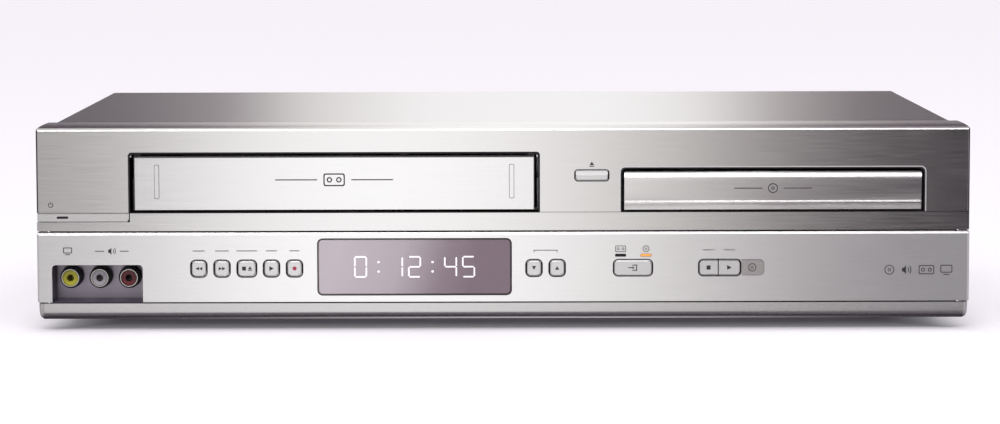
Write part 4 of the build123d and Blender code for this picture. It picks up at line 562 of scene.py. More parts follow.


# One brushed foil in four copies, paler or darker and more or less metal: painted light and shade,
# so that the lower panel, the flap and the tray show brighter than the upper front.
UPPER_FOIL_PAINTED_DARKER = brushed_foil(
    "brushed_foil_painted_darker", ("#ECEAEA", "#F2F0F0"), 1.0, 0.19,
    front=STRIP_FACE + 0.3, high=UPPER_HIGH[2] - 3.4, reach=UPPER_HIGH[0] - 0.6,
)
PANEL_FOIL_PAINTED_PALER = brushed_foil(
    "brushed_foil_painted_paler", ("#F8F7F7", "#FEFDFD"), 0.72, 0.19,
    front=PANEL_FACE + 1.25, high=UPPER_HIGH[2], reach=UPPER_HIGH[0] - 0.6,
)
FLAP_FOIL_PAINTED_PALER = brushed_foil(
    "flap_brushed_foil_painted_paler", ("#F4F3F3", "#FAF9F9"), 0.84, 0.19,
    front=FLAP_FACE + 1.0, high=UPPER_HIGH[2], reach=UPPER_HIGH[0],
)
TRAY_FOIL_PAINTED_PALER = brushed_foil(
    "tray_brushed_foil_painted_paler", ("#F6F4F4", "#FCFAFA"), 0.94, 0.18,
    front=TRAY_HIGH[1] - 1.0, high=UPPER_HIGH[2], reach=UPPER_HIGH[0],
)
CHIN_COAT_PAINTED_SHADE = chin_lacquer_painted_shade()
BAR_COAT = satin_coat("sprayed_silver_lacquer_on_abs", ("#EDEBEB", "#F4F2F2"), 0.85, 0.22)
KEY_COAT = satin_coat("sprayed_pale_lacquer_on_abs", ("#F4F3F3", "#FAF9F9"), 0.7, 0.22)
COVER_PAINT = speckled_cover_paint()
ZINC = zinc_plated_sheet()
BLACK_ABS = moulded("textured_black_abs", ("#19181B", "#232226"))
# Painted shade and light in the socket recess: dark walls near the front, a pale and more metal
# back wall.
RECESS_ABS_PAINTED_SHADE = toned_by_depth(
    "violet_abs_painted_recess_shade", "#453D50", "#CFC6D4", RECESS_BACK - 0.6, 0.5, (0.0, 0.75), 0.34
)
TRAY_ABS = moulded("textured_charcoal_abs", ("#2C2B2F", "#37363A"))
ACETAL = moulded("moulded_white_acetal", ("#DEDCD6", "#E9E7E1"), roughness=0.35, depth_mm=0.005)
RUBBER = moulded("moulded_black_rubber", ("#141414", "#1F1F1F"), roughness=0.75, depth_mm=0.03)
GROUND_RUBBER = moulded("ground_black_rubber", ("#1A1A1B", "#242425"), roughness=0.6)
DISPLAY_ABS = moulded("moulded_dark_mauve_abs", ("#2B2429", "#352D33"))
NICKEL = plated("nickel_plate_on_brass", ("#C6C3C1", "#DCD9D6"), 0.2)
# Painted shade on the front sockets' sleeves: bright at the front rim, near black on the sides
# behind it.
SLEEVE_NICKEL_PAINTED_DARK = toned_by_depth(
    "nickel_plate_painted_dark_behind_rim", "#DEDBD8", "#151315", SLEEVE_TIP + 0.3, 0.5, (1.0, 0.6), 0.22
)
BLACKENED = plated("blackened_steel", ("#2B2B2D", "#3A3A3C"), 0.35)
YELLOW = polished_insert("moulded_yellow_pp", ("#CFC92A", "#DAD438"))
WHITE = polished_insert("moulded_white_pp", ("#B7B3B9", "#C3BFC5"))
RED = polished_insert("moulded_red_pp", ("#6B1420", "#781A26"))
BOARD = circuit_laminate()
DRUM = turned("turned_aluminium", ("#C6C7CA", "#DDDEE0"), *centre_of("head_drum", 1))
STEEL = turned("turned_steel", ("#AEAFB1", "#C9CACC"), *centre_of("capstan_flywheel", 1))
PANE_PAINTED_REFLECTION = pane_painted_reflection()
INK = ink_or_painted_shade("pad_printed_dark_ink", ("#2E2A31", "#3A363D"))
# Grey print for the marks, and painted shade round the flap's bars.
GREY_INK_AND_PAINTED_SHADE = ink_or_painted_shade("grey_ink_and_painted_shade", ("#77727A", "#86818A"))
RED_INK = ink_or_painted_shade("pad_printed_red_ink", ("#B23A55", "#C04861"))
# Black for the standby slot and the sockets' collars, and painted shade in the gaps round the keys,
# the window, the openings and under the step.
BLACK_AND_PAINTED_GAP_SHADE = ink_or_painted_shade("black_parts_and_painted_gap_shade", ("#1A161D", "#241F27"))
FIELD = satin_coat("sprayed_grey_lacquer_on_abs", ("#C6C2BF", "#CFCBC8"), 0.7, 0.24)
# The pale band round the disc opening: partly the foil's cut edge, partly a painted highlight.
BRIGHT_CUT_AND_HIGHLIGHT = satin_coat("cut_foil_edge_and_painted_highlight", ("#F4F2F2", "#FBFAFA"), 0.6, 0.24)
AMBER = lit("frosted_amber_light_guide", ("#F09E48", "#F7AE5E"), 0.4)
UNLIT = moulded("frosted_dark_light_guide", ("#151416", "#1D1B1F"), roughness=0.3)
GLOW = lit("white_display_segment", ("#F6F1F6", "#FFFFFF"), 0.75)

ROW_KEYS = (
    "rewind_button", "fast_forward_button", "stop_eject_button", "play_button",
    "record_button", "tracking_down_button", "tracking_up_button",
)
finishes = {
    UPPER_FOIL_PAINTED_DARKER: ("upper_fascia",),
    PANEL_FOIL_PAINTED_PALER: ("lower_fascia",),
    FLAP_FOIL_PAINTED_PALER: ("cassette_flap",),
    CHIN_COAT_PAINTED_SHADE: ("chin_rail",),
    TRAY_FOIL_PAINTED_PALER: ("tray_front",),
    BAR_COAT: ("standby_button",),
    KEY_COAT: (
        *ROW_KEYS, "source_button", "open_close_button", "disc_stop_button", "disc_play_button",
    ),
    COVER_PAINT: ("top_cover",),
    ZINC: (
        "chassis_pan", "rear_panel", "aerial_tuner", "deck_chassis", "carriage_frame",
        "basket_slide", "cassette_basket", "pinch_roller_arm", "clamp_bridge", "traverse_frame",
    ),
    BLACK_ABS: (
        "front_carrier", "mains_inlet", "rear_jack_block", "loader_frame", "disc_clamp",
        "turntable", "optical_pickup",
    ),
    RECESS_ABS_PAINTED_SHADE: ("jack_pocket",),
    TRAY_ABS: ("disc_tray",),
    ACETAL: ("tray_pinion", "supply_reel_table", "takeup_reel_table"),
    RUBBER: ("feet",),
    GROUND_RUBBER: ("pinch_roller",),
    DISPLAY_ABS: ("display_module",),
    SLEEVE_NICKEL_PAINTED_DARK: ("front_jack_sleeves",),
    NICKEL: ("rear_jack_sleeves",),
    BLACKENED: ("cover_screws",),
    YELLOW: ("jack_insert_yellow",),
    WHITE: ("jack_insert_white",),
    RED: ("jack_insert_red",),
    BOARD: ("front_board", "main_board", "power_board"),
    DRUM: ("lower_drum", "head_drum"),
    STEEL: ("capstan_flywheel", "tape_heads", "drive_motors", "sled_screw"),
    PANE_PAINTED_REFLECTION: ("display_window",),
    UNLIT: ("source_lights",),
}
for finish, names in finishes.items():
    for name in names:
        for material_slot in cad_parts[name].material_slots:
            material_slot.material = finish


def dark_piece(name, shapes, material, body="case"):
    """A piece in the dark moulding's slot: painted shade as an outline or a lining, a black part,
    or printed ink.
    """
    piece(name, shapes, body, material)


# ---- Painted shade round the keys and the window ----

HOLE_GAP = 0.4       # between a cap and the side of its hole
CORNER_SHARE = 0.3   # a hole's corner radius, as a share of its height
OUTLINE = 0.42
THIN_OUTLINE = 0.28

# The caps' heights; a key's box also holds its flange, which is taller.
CAP_HEIGHT = 6.95
OPEN_CLOSE_HEIGHT = 4.4


def hole_ring(node, cap_height, line, surface):
    """Dark frame round the hole that a key moves in, flush with the surface round it: painted shade
    in the gap.
    """
    low, high = box_mm(node)
    x, z = centre_of(node)
    width = high[0] - low[0] + 2 * HOLE_GAP
    corner = (cap_height + HOLE_GAP) * CORNER_SHARE
    return edging(x, z, width, cap_height + 2 * HOLE_GAP, line, (corner, corner + line), surface)


panel = flat(PANEL_FACE)
upper = flat(UPPER_FACE)
rings = [hole_ring(name, CAP_HEIGHT, OUTLINE, panel) for name in ROW_KEYS]
rings.append(hole_ring("source_button", CAP_HEIGHT, THIN_OUTLINE, panel))

# The two disc keys share one hole.
stop_low, _ = box_mm("disc_stop_button")
_, play_high = box_mm("disc_play_button")
pair_x = (stop_low[0] + play_high[0]) / 2
key_z = centre_of("disc_play_button")[1]
pair_width = play_high[0] - stop_low[0] + 2 * HOLE_GAP
pair_height = CAP_HEIGHT + 2 * HOLE_GAP
FIELD_DEPTH = 0.4
PAIR_RADII = (2.2, 2.4)
in_field = flat(PANEL_FACE + FIELD_DEPTH)
rings.append(edging(
    pair_x, key_z, pair_width, pair_height, THIN_OUTLINE, PAIR_RADII, in_field,
    proud=FIELD_DEPTH + PROUD,
))

# The window's rim, just outside its hole: painted shade in its gap.
pane_x, pane_z = centre_of("display_window")
PANE_FLANGE = 1.0
WINDOW_RADII = (2.3, 2.3 + THIN_OUTLINE)
hole_width = WINDOW_HIGH[0] - WINDOW_LOW[0] - 2 * PANE_FLANGE + 2 * HOLE_GAP
hole_height = WINDOW_HIGH[2] - WINDOW_LOW[2] - 2 * PANE_FLANGE + 2 * HOLE_GAP
rings.append(edging(pane_x, pane_z, hole_width, hole_height, THIN_OUTLINE, WINDOW_RADII, panel))
dark_piece("panel_shade_rims", rings, BLACK_AND_PAINTED_GAP_SHADE)
open_close_shade_rim = hole_ring("open_close_button", OPEN_CLOSE_HEIGHT, THIN_OUTLINE, upper)
dark_piece("open_close_shade_rim", [open_close_shade_rim], BLACK_AND_PAINTED_GAP_SHADE)


# ---- Painted shade in the two openings and under the step; the slot and the collars ----

# The cassette opening: its gap is painted black as shade, a little wider than the gap itself,
# with a rounded top; the opening ends at the strip, so its lower side is a line on the strip.
CASSETTE_HALF_WIDTH = 95.5
CASSETTE_HEIGHT = 27.7
EDGE_SHADE = 0.45       # how far the painted shade lies on the face,
GAP_SHADE = 0.3         # and how far it reaches into the gap
CASSETTE_RADIUS = 1.6
STRIP_LINE_DROP = 0.1    # how far below the step's corner its lines are
CASSETTE_LOWER_LINE = 0.6
strip = flat(STRIP_FACE)
flap_x = (FLAP_LOW[0] + FLAP_HIGH[0]) / 2
opening_low = flap_x - CASSETTE_HALF_WIDTH
opening_high = flap_x + CASSETTE_HALF_WIDTH
opening_top = STEP_Z + CASSETTE_HEIGHT


def arch(x0, x1, bottom, top, radius):
    """Path up one side, over the top with rounded corners, and down the other side."""
    left = arc(x0 + radius, top - radius, radius, 180, 90, 8)
    right = arc(x1 - radius, top - radius, radius, 90, 0, 8)
    return np.vstack(((x0, bottom), left, right, (x1, bottom)))


def arch_band(x0, x1, bottom, top, radius, width):
    """The two paths of a band along an arch: the arch, and one inside it by the width.

    The inner one's corners are rounder, so that the band covers the opening's own corners.
    """
    inner = arch(x0 + width, x1 - width, bottom, top - width, radius + width)
    return arch(x0, x1, bottom, top, radius), inner


def opening_gap_shade(x0, x1, top, edge, radius, width, lower_line):
    """An opening's painted gap shade: a band up, over and down, an edge outside it, and a lower
    line.
    """
    outer, inner = arch_band(x0 - edge, x1 + edge, STEP_Z, top + edge, radius, width)
    return [
        band(outer, inner, upper),
        rule(x0, x1, STEP_Z - STRIP_LINE_DROP, lower_line, strip),
    ]


cassette_gap_shade = opening_gap_shade(
    opening_low, opening_high, opening_top, EDGE_SHADE, CASSETTE_RADIUS,
    EDGE_SHADE + GAP_SHADE, CASSETTE_LOWER_LINE,
)
dark_piece("cassette_opening_painted_shade", cassette_gap_shade, BLACK_AND_PAINTED_GAP_SHADE)

# The disc opening: painted shade in its gap, and outside it a pale band over the top and
# down the right side, partly the foil's bright cut edge and partly a painted highlight.
DISC_GAP = 1.35
DISC_TOP_GAP = 1.6
DISC_EDGE_SHADE = 0.35
DISC_SHADE_WIDTH = 0.55
DISC_LOWER_LINE = 0.5
DISC_RADIUS = 2.0
CUT_EDGE_LEFT = 0.9
CUT_EDGE_RIGHT = 0.95
CUT_EDGE_TOP = 0.9
CUT_EDGE_WIDTH = 0.5
CUT_EDGE_RADIUS = 2.5
CUT_EDGE_PROUD = 0.02
disc_low, disc_high = TRAY_LOW[0] - DISC_GAP, TRAY_HIGH[0] + DISC_GAP
disc_top = TRAY_HIGH[2] + DISC_TOP_GAP
disc_gap_shade = opening_gap_shade(
    disc_low, disc_high, disc_top, DISC_EDGE_SHADE, DISC_RADIUS, DISC_SHADE_WIDTH,
    DISC_LOWER_LINE,
)
dark_piece("disc_opening_painted_shade", disc_gap_shade, BLACK_AND_PAINTED_GAP_SHADE)
cut_edge = [band(*arch_band(
    disc_low - CUT_EDGE_LEFT, disc_high + CUT_EDGE_RIGHT, STEP_Z, disc_top + CUT_EDGE_TOP,
    CUT_EDGE_RADIUS, CUT_EDGE_WIDTH,
), upper, proud=CUT_EDGE_PROUD)]
piece("disc_opening_edge_highlight", cut_edge, "case", BRIGHT_CUT_AND_HIGHLIGHT)

# The step casts a fine shadow along the strip: a painted shadow line just under the step's corner.
STEP_SHADOW_LINE = 0.3
CORNER_LINE_DROP = 0.12
LINE_END = 0.6  # how far the line stops short of the front's ends
step_shadow_line = rule(
    UPPER_LOW[0] + LINE_END, UPPER_HIGH[0] - LINE_END, STEP_Z - CORNER_LINE_DROP,
    STEP_SHADOW_LINE, strip,
)
dark_piece("step_painted_shadow_line", [step_shadow_line], BLACK_AND_PAINTED_GAP_SHADE)

# The slot in the standby bar that a light behind shines through, now dark.
SLOT_LENGTH = 5.4
SLOT_HEIGHT = 1.1
SLOT_RADIUS = 0.45
SLOT_X = UPPER_LOW[0] + 12.0
SLOT_Z = STEP_Z - 2.25
slot_outline = rounded(SLOT_X, SLOT_Z, SLOT_LENGTH, SLOT_HEIGHT, SLOT_RADIUS)
dark_piece("standby_slot", [plate(slot_outline, flat(STANDBY_FACE))], BLACK_AND_PAINTED_GAP_SHADE, "standby_key")

# Fine grey outlines round the flap's two upright bars: painted shade along their edges.
BAR_WIDTH = 1.9
BAR_HEIGHT = 15.5
BAR_Z = 69.8
BAR_OFFSET = 82.75
BAR_RADII = (0.5, 0.7)
BAR_LINE = 0.25
flap_surface = flat(FLAP_FACE)
bar_shade_rings = [
    edging(x, BAR_Z, BAR_WIDTH, BAR_HEIGHT, BAR_LINE, BAR_RADII, flap_surface)
    for x in (flap_x - BAR_OFFSET, flap_x + BAR_OFFSET)
]
dark_piece("flap_bar_shade_outlines", bar_shade_rings, GREY_INK_AND_PAINTED_SHADE, "flap")

# Black collars that stand round the front sockets' sleeves: the sockets' black bodies, and painted
# shade round each sleeve.
COLLAR_DEPTH = 3.0
COLLAR_RADIUS = 5.1
COLLAR_BORE = 4.2
COLLAR_FRONT = 0.4
COLLAR_BACK = 1.6
COLLAR_SIDES = 48
sockets = [centre_of("jack_insert_" + colour) for colour in ("yellow", "white", "red")]
collars = [ring(
    polygon(x, z, COLLAR_RADIUS, COLLAR_SIDES), polygon(x, z, COLLAR_BORE, COLLAR_SIDES),
    flat(SLEEVE_TIP + COLLAR_DEPTH), proud=COLLAR_FRONT, sunk=COLLAR_BACK,
) for x, z in sockets]
dark_piece("socket_collars", collars, BLACK_AND_PAINTED_GAP_SHADE)

# The grey field to the right of the disc keys.
FIELD_RIGHT = 121.8
FIELD_HALF_HEIGHT = 3.6
FIELD_RADIUS = 2.2
FIELD_PROUD = 0.1
FIELD_LINE = 0.25
FIELD_LINE_PROUD = 0.2
field_left = play_high[0] + HOLE_GAP + THIN_OUTLINE + 0.1
corner_x = FIELD_RIGHT - FIELD_RADIUS
corner_rise = FIELD_HALF_HEIGHT - FIELD_RADIUS
field_right_side = np.vstack((
    arc(corner_x, key_z - corner_rise, FIELD_RADIUS, -90, 0, 8),
    arc(corner_x, key_z + corner_rise, FIELD_RADIUS, 0, 90, 8),
))
top_left = np.array(((field_left, key_z + FIELD_HALF_HEIGHT),))
bottom_left = np.array(((field_left, key_z - FIELD_HALF_HEIGHT),))
field_plate = plate(
    np.vstack((top_left, bottom_left, field_right_side)), in_field, proud=FIELD_PROUD
)
piece("disc_keys_field", [field_plate], "case", FIELD)
field_rim = stroke(
    np.vstack((bottom_left, field_right_side, top_left)), FIELD_LINE, in_field,
    proud=FIELD_LINE_PROUD,
)
dark_piece("disc_keys_field_rim", [field_rim], GREY_INK_AND_PAINTED_SHADE)


# ---- Symbols ----

LINE = 0.42  # the usual width of a symbol's lines


def play_symbol(x, z, size, surface):
    """Triangle to the right."""
    return [plate(arrow(x, z, size, size * 1.05, (1, 0)), surface)]


def tracking_symbol(x, z, way, surface):
    """Small triangle up or down."""
    return [plate(arrow(x, z, 1.8, 1.9, (0, way)), surface)]


def double_arrow(x, z, size, way, surface):
    """Two triangles one after the other, for winding."""
    return [
        plate(arrow(x + side * size / 2, z, size, size, (way, 0)), surface) for side in (-1, 1)
    ]


def stop_symbol(x, z, size, surface):
    """Square with barely rounded corners."""
    return [plate(rounded(x, z, size, size, 0.1), surface)]


def eject_symbol(x, z, size, surface):
    """Triangle upwards over a bar."""
    bar_z = z - size * 0.42
    return [
        plate(arrow(x, z + size * 0.18, size * 0.7, size, (0, 1)), surface),
        rule(x - size / 2, x + size / 2, bar_z, size * 0.2, surface),
    ]


def power_symbol(x, z, radius, surface):
    """Open ring with an upright bar in its gap."""
    line = radius * 0.34
    return [
        stroke(arc(x, z, radius, 125, 415), line, surface),
        stroke(((x, z + radius * 0.15), (x, z + radius * 1.25)), line, surface),
    ]


def cassette_symbol(x, z, width, surface, line=LINE):
    """Round-cornered box with two reels."""
    inner_width, inner_height = width - 2 * line, width * 0.6 - 2 * line
    radii = (width * 0.1 - line / 2, width * 0.1)
    reels = [
        hoop(x + side * width * 0.22, z, width * 0.13, line, surface, 20) for side in (-1, 1)
    ]
    return [edging(x, z, inner_width, inner_height, line, radii, surface), *reels]


def disc_symbol(x, z, radius, surface, line=LINE):
    """Ring for a disc's edge and a smaller one for its hole."""
    return [
        hoop(x, z, radius, line, surface, 32),
        hoop(x, z, radius * 0.34, line * 0.8, surface, 20),
    ]


def screen_symbol(x, z, width, surface, line=LINE):
    """Screen on a short foot."""
    height = width * 0.66
    foot_z = z - height / 2 - width * 0.14
    radii = (width * 0.06, width * 0.1)
    return [
        edging(x, z, width - 2 * line, height - 2 * line, line, radii, surface),
        rule(x - width * 0.25, x + width * 0.25, foot_z, line, surface),
    ]


def speaker_symbol(x, z, size, surface, line=LINE):
    """Box and cone seen from the side, with two sound waves."""
    mouth, neck, back = x - size * 0.05, x - size * 0.3, x - size * 0.5
    tall, short = size * 0.5, size * 0.22
    cone = np.array((
        (mouth, z + tall), (neck, z + short), (back, z + short),
        (back, z - short), (neck, z - short), (mouth, z - tall),
    ))
    waves = [arc(x - size * 0.1, z, size * reach, -42, 42, 12) for reach in (0.35, 0.6)]
    return [plate(cone, surface)] + [stroke(wave, line, surface) for wave in waves]


def source_symbol(x, z, size, surface):
    """Box that is open on its left, with an arrow going in."""
    half = size / 2
    left = x - half * 0.2
    return [
        rule(left, x + half, z + half * 0.7, LINE, surface),
        rule(left, x + half, z - half * 0.7, LINE, surface),
        stroke(((x + half, z - half * 0.86), (x + half, z + half * 0.86)), LINE, surface),
        rule(x - half * 1.3, left, z, LINE, surface),
        plate(arrow(x + half * 0.15, z, half * 0.6, half * 0.8, (1, 0)), surface),
    ]


def bracket(x0, x1, z, drop, surface, line):
    """Level line over a group, with a short drop at each end."""
    drops = [stroke(((x, z + line / 2), (x, z - drop)), line, surface) for x in (x0, x1)]
    return [rule(x0, x1, z, line, surface), *drops]


def side_rules(x, z, near, far, line, surface):
    """A level line on each side of a picture."""
    return [rule(x - far, x - near, z, line, surface), rule(x + near, x + far, z, line, surface)]


key_face = flat(KEY_FACE)
key_symbols = {
    "rewind": lambda x, z: double_arrow(x, z, 1.6, -1, key_face),
    "fast_forward": lambda x, z: double_arrow(x, z, 1.6, 1, key_face),
    "stop_eject": lambda x, z: [
        *stop_symbol(x - 1.35, z, 1.8, key_face), *eject_symbol(x + 1.45, z, 1.9, key_face),
    ],
    "play": lambda x, z: play_symbol(x, z, 2.0, key_face),
    "tracking_down": lambda x, z: tracking_symbol(x, z, -1, key_face),
    "tracking_up": lambda x, z: tracking_symbol(x, z, 1, key_face),
    "source": lambda x, z: source_symbol(x, z, 3.4, key_face),
    "disc_stop": lambda x, z: stop_symbol(x, z, 1.9, key_face),
    "disc_play": lambda x, z: play_symbol(x, z, 2.1, key_face),
}
for key, symbol in key_symbols.items():
    dark_piece(f"{key}_key_symbol", symbol(*centre_of(f"{key}_button")), INK, f"{key}_key")
RECORD_DOT = 0.95
record_dot = plate(polygon(*centre_of("record_button"), RECORD_DOT, 28), key_face)
piece("record_key_symbol", [record_dot], "record_key", RED_INK)

# Marks on the lower panel: a plain rule over each key, a bracket over the two tracking
# keys, and small pictures over the sockets.
LABEL_RISE = 8.3      # from the keys' middle line up to the marks
RULE_LINE = 0.45
BRACKET_HALF_WIDTH = 5.4
PANEL_LINE = 0.4
label_z = key_z + LABEL_RISE
rule_widths = {
    "rewind": 5.6, "fast_forward": 6.4, "stop_eject": 9.6, "play": 5.2, "record": 4.6,
    "disc_stop": 5.4, "disc_play": 5.2,
}
grey_marks = []
for key, length in rule_widths.items():
    x, _ = centre_of(f"{key}_button")
    grey_marks.append(rule(x - length / 2, x + length / 2, label_z, RULE_LINE, panel))
tracking_x = (centre_of("tracking_down_button")[0] + centre_of("tracking_up_button")[0]) / 2
grey_marks += bracket(
    tracking_x - BRACKET_HALF_WIDTH, tracking_x + BRACKET_HALF_WIDTH, label_z, 1.0, panel,
    PANEL_LINE,
)
(video_x, _), (left_x, _), (right_x, _) = sockets
audio_x = (left_x + right_x) / 2
panel_marks = [
    *screen_symbol(video_x, label_z + 0.4, 4.2, panel, PANEL_LINE),
    *speaker_symbol(audio_x, label_z, 3.4, panel, 0.35),
    rule(left_x - 1.0, audio_x - 3.6, label_z, PANEL_LINE, panel),
    rule(audio_x + 3.8, right_x + 1.0, label_z, PANEL_LINE, panel),
]
dark_piece("panel_marks", panel_marks, INK)
dark_piece("panel_grey_marks", grey_marks, GREY_INK_AND_PAINTED_SHADE)

# Row of small pictures of what the machine plays, at the panel's right end.
DISC_PICTURE_X, SOUND_PICTURE_X, TAPE_PICTURE_X, SCREEN_PICTURE_X = 180.2, 188.2, 197.5, 206.8
pictures_z = key_z - 1.2
pictures = [
    *disc_symbol(DISC_PICTURE_X, pictures_z, 2.3, panel),
    *speaker_symbol(SOUND_PICTURE_X, pictures_z, 4.2, panel),
    *cassette_symbol(TAPE_PICTURE_X, pictures_z, 7.2, panel),
    *screen_symbol(SCREEN_PICTURE_X, pictures_z + 0.4, 5.6, panel),
]
dark_piece("panel_pictures", pictures, INK)

# On the grey field, and over the two source lights.
LIGHT_WIDTH = 4.8
LIGHT_HEIGHT = 1.1
LIGHT_RADIUS = 0.3
lights_low, lights_high = box_mm("source_lights")
left_light_x = lights_low[0] + LIGHT_WIDTH / 2
right_light_x = lights_high[0] - LIGHT_WIDTH / 2
light_mark_z = label_z + 0.6
field_face = flat(PANEL_FACE + FIELD_DEPTH - FIELD_PROUD)
small_marks = [
    *disc_symbol((field_left + FIELD_RIGHT) / 2 - 0.3, key_z, 1.9, field_face, 0.35),
    *cassette_symbol(left_light_x, light_mark_z, 5.0, panel, 0.32),
    *disc_symbol(right_light_x, light_mark_z, 1.55, panel, 0.34),
]
dark_piece("small_marks", small_marks, INK)

# Above the standby bar and the open and close key.
STANDBY_MARK = (-210.9, 59.2)
EJECT_RISE = 5.2
open_x, open_z = centre_of("open_close_button")
upper_marks = [
    *power_symbol(*STANDBY_MARK, 1.05, upper),
    *eject_symbol(open_x, open_z + EJECT_RISE, 2.2, upper),
]
dark_piece("upper_marks", upper_marks, INK)

# On the flap: a cassette between two rules.
FLAP_MARK_Z = 70.6
flap_marks = [
    *cassette_symbol(flap_x, FLAP_MARK_Z, 10.0, flap_surface, 0.6),
    *side_rules(flap_x, FLAP_MARK_Z, 8.0, 27.5, 0.5, flap_surface),
]
dark_piece("flap_marks", flap_marks, INK, "flap")

# On the tray's front, which bulges: a disc between two rules. The bulge is the circle
# through its upper edge, its middle and its lower edge, each given as y and z.
BULGE_EDGES = ((-132.7, 69.6), (-132.3, 65.0), (-131.3, 60.6))


def circle_through(points):
    """Centre and radius, from the two equations that equal distances to three points give."""
    (y0, z0), (y1, z1), (y2, z2) = points
    sides = np.array(((y1 - y0, z1 - z0), (y2 - y0, z2 - z0))) * 2
    squares = (y1 ** 2 + z1 ** 2 - y0 ** 2 - z0 ** 2, y2 ** 2 + z2 ** 2 - y0 ** 2 - z0 ** 2)
    centre = np.linalg.solve(sides, squares)
    return centre, math.hypot(y0 - centre[0], z0 - centre[1])


(bulge_y, bulge_z), bulge_radius = circle_through(BULGE_EDGES)


def bulge(x, z):
    """The tray front's surface: the front side of the circle at each height."""
    return bulge_y - np.sqrt(bulge_radius ** 2 - (z - bulge_z) ** 2)


TRAY_MARK_Z = 66.4
tray_x = (TRAY_LOW[0] + TRAY_HIGH[0]) / 2
tray_marks = [
    *disc_symbol(tray_x, TRAY_MARK_Z, 2.3, bulge, 0.45),
    *side_rules(tray_x, TRAY_MARK_Z, 5.0, 18.0, 0.4, bulge),
]
dark_piece("tray_marks", tray_marks, INK, "tray")

# Display: a clock reading in seven-segment figures.
pane_surface = flat(PANE_FACE)
FIGURE_WIDTH = 5.4
FIGURE_HEIGHT = 9.4
SEGMENT = 0.62      # a bar's width
SEGMENT_GAP = 0.35  # and what it stops short of the figure's corners
figures = {"0": "abcdef", "1": "bc", "2": "abged", "4": "fgbc", "5": "afgcd"}


def segment(letter, x, z):
    """One bar of a seven-segment figure, named a to g as is usual, centred on x and z."""
    reach = FIGURE_WIDTH / 2 - SEGMENT_GAP
    half = FIGURE_HEIGHT / 2
    level = {"a": half, "g": 0.0, "d": -half}
    if letter in level:
        return rule(x - reach, x + reach, z + level[letter], SEGMENT, pane_surface)
    side = x + (FIGURE_WIDTH / 2 if letter in "bc" else -FIGURE_WIDTH / 2)
    low = z if letter in "bf" else z - half
    ends = ((side, low + SEGMENT_GAP), (side, low + half - SEGMENT_GAP))
    return stroke(ends, SEGMENT, pane_surface)


READING = "0:12:45"
CELL = 8.4
DOT, DOT_RADIUS, DOT_OFFSET = 0.9, 0.2, 2.2
glowing = []
for place, sign in enumerate(READING):
    x = pane_x + (place - (len(READING) - 1) / 2) * CELL
    if sign == ":":
        glowing += [plate(rounded(x, pane_z + offset, DOT, DOT, DOT_RADIUS), pane_surface)
                    for offset in (-DOT_OFFSET, DOT_OFFSET)]
    else:
        glowing += [segment(letter, x, pane_z) for letter in figures[sign]]
piece("display_reading", glowing, "case", GLOW)

# The lit one of the two source lights.
light_z = (lights_low[2] + lights_high[2]) / 2
light_outline = rounded(right_light_x, light_z, LIGHT_WIDTH, LIGHT_HEIGHT, LIGHT_RADIUS)
piece(
    "lit_source_light", [plate(light_outline, flat(lights_low[1]))],
    "case", AMBER,
)


# ---- Studio: floor, soft light and camera ----

WHITE_LIGHT = (1.0, 1.0, 1.0, 1.0)


def studio_paper():
    """White background paper: it shows white away from the object, and keeps its shadow.

    How far a place lies outside the object's footprint is the larger of its two steps past
    the sides, in metres, and less than nothing underneath. The paper's own light grows over
    a band about the footprint, and only for what looks at it, so it doesn't light the object.
    """
    band_start, band_end, own_light = -36 * MM, 20 * MM, 0.4
    material, tree, where = start_material("white_background_paper")
    place = add(tree, "ShaderNodeSeparateXYZ", {"Vector": where})
    past = []
    for number, axis in enumerate("XY"):
        low, high = cad_box[0][number], cad_box[1][number]
        offset = add(tree, "ShaderNodeMath", {
            0: place.outputs[axis], 1: (low + high) / 2,
        }, operation="SUBTRACT")
        size = add(tree, "ShaderNodeMath", {0: offset}, operation="ABSOLUTE")
        past.append(add(
            tree, "ShaderNodeMath", {0: size, 1: (high - low) / 2}, operation="SUBTRACT"
        ))
    outside = add(tree, "ShaderNodeMath", {0: past[0], 1: past[1]}, operation="MAXIMUM")
    clear = add(tree, "ShaderNodeMapRange", {
        "Value": outside, "From Min": band_start, "From Max": band_end,
    }, interpolation_type="SMOOTHSTEP")
    ray = add(tree, "ShaderNodeLightPath").outputs
    looks = ray["Is Camera Ray"]
    for other in ("Is Glossy Ray", "Is Transmission Ray"):
        looks = add(tree, "ShaderNodeMath", {0: looks, 1: ray[other]}, operation="MAXIMUM")
    glow = add(tree, "ShaderNodeMath", {0: clear, 1: looks}, operation="MULTIPLY")
    glow = add(tree, "ShaderNodeMath", {0: glow, 1: own_light}, operation="MULTIPLY")
    look = worked(tree, grain(tree, where, 6.0), ("#D6CFD9", "#DBD5DE"), (0.85, 0.95))
    look["Emission Strength"] = glow
    return finish_material(
        material, tree, look, {"Specular IOR Level": 0.0, "Emission Color": WHITE_LIGHT}
    )


FLOOR_REACH = 12.0
floor_mesh = bpy.data.meshes.new("studio_floor")
floor_corners = [
    (x * FLOOR_REACH, y * FLOOR_REACH, 0) for x, y in ((-1, -1), (1, -1), (1, 1), (-1, 1))
]
floor_mesh.from_pydata(floor_corners, [], [(0, 1, 2, 3)])
floor_mesh.materials.append(studio_paper())
floor = stand("studio_floor", floor_mesh)
floor.visible_glossy = False

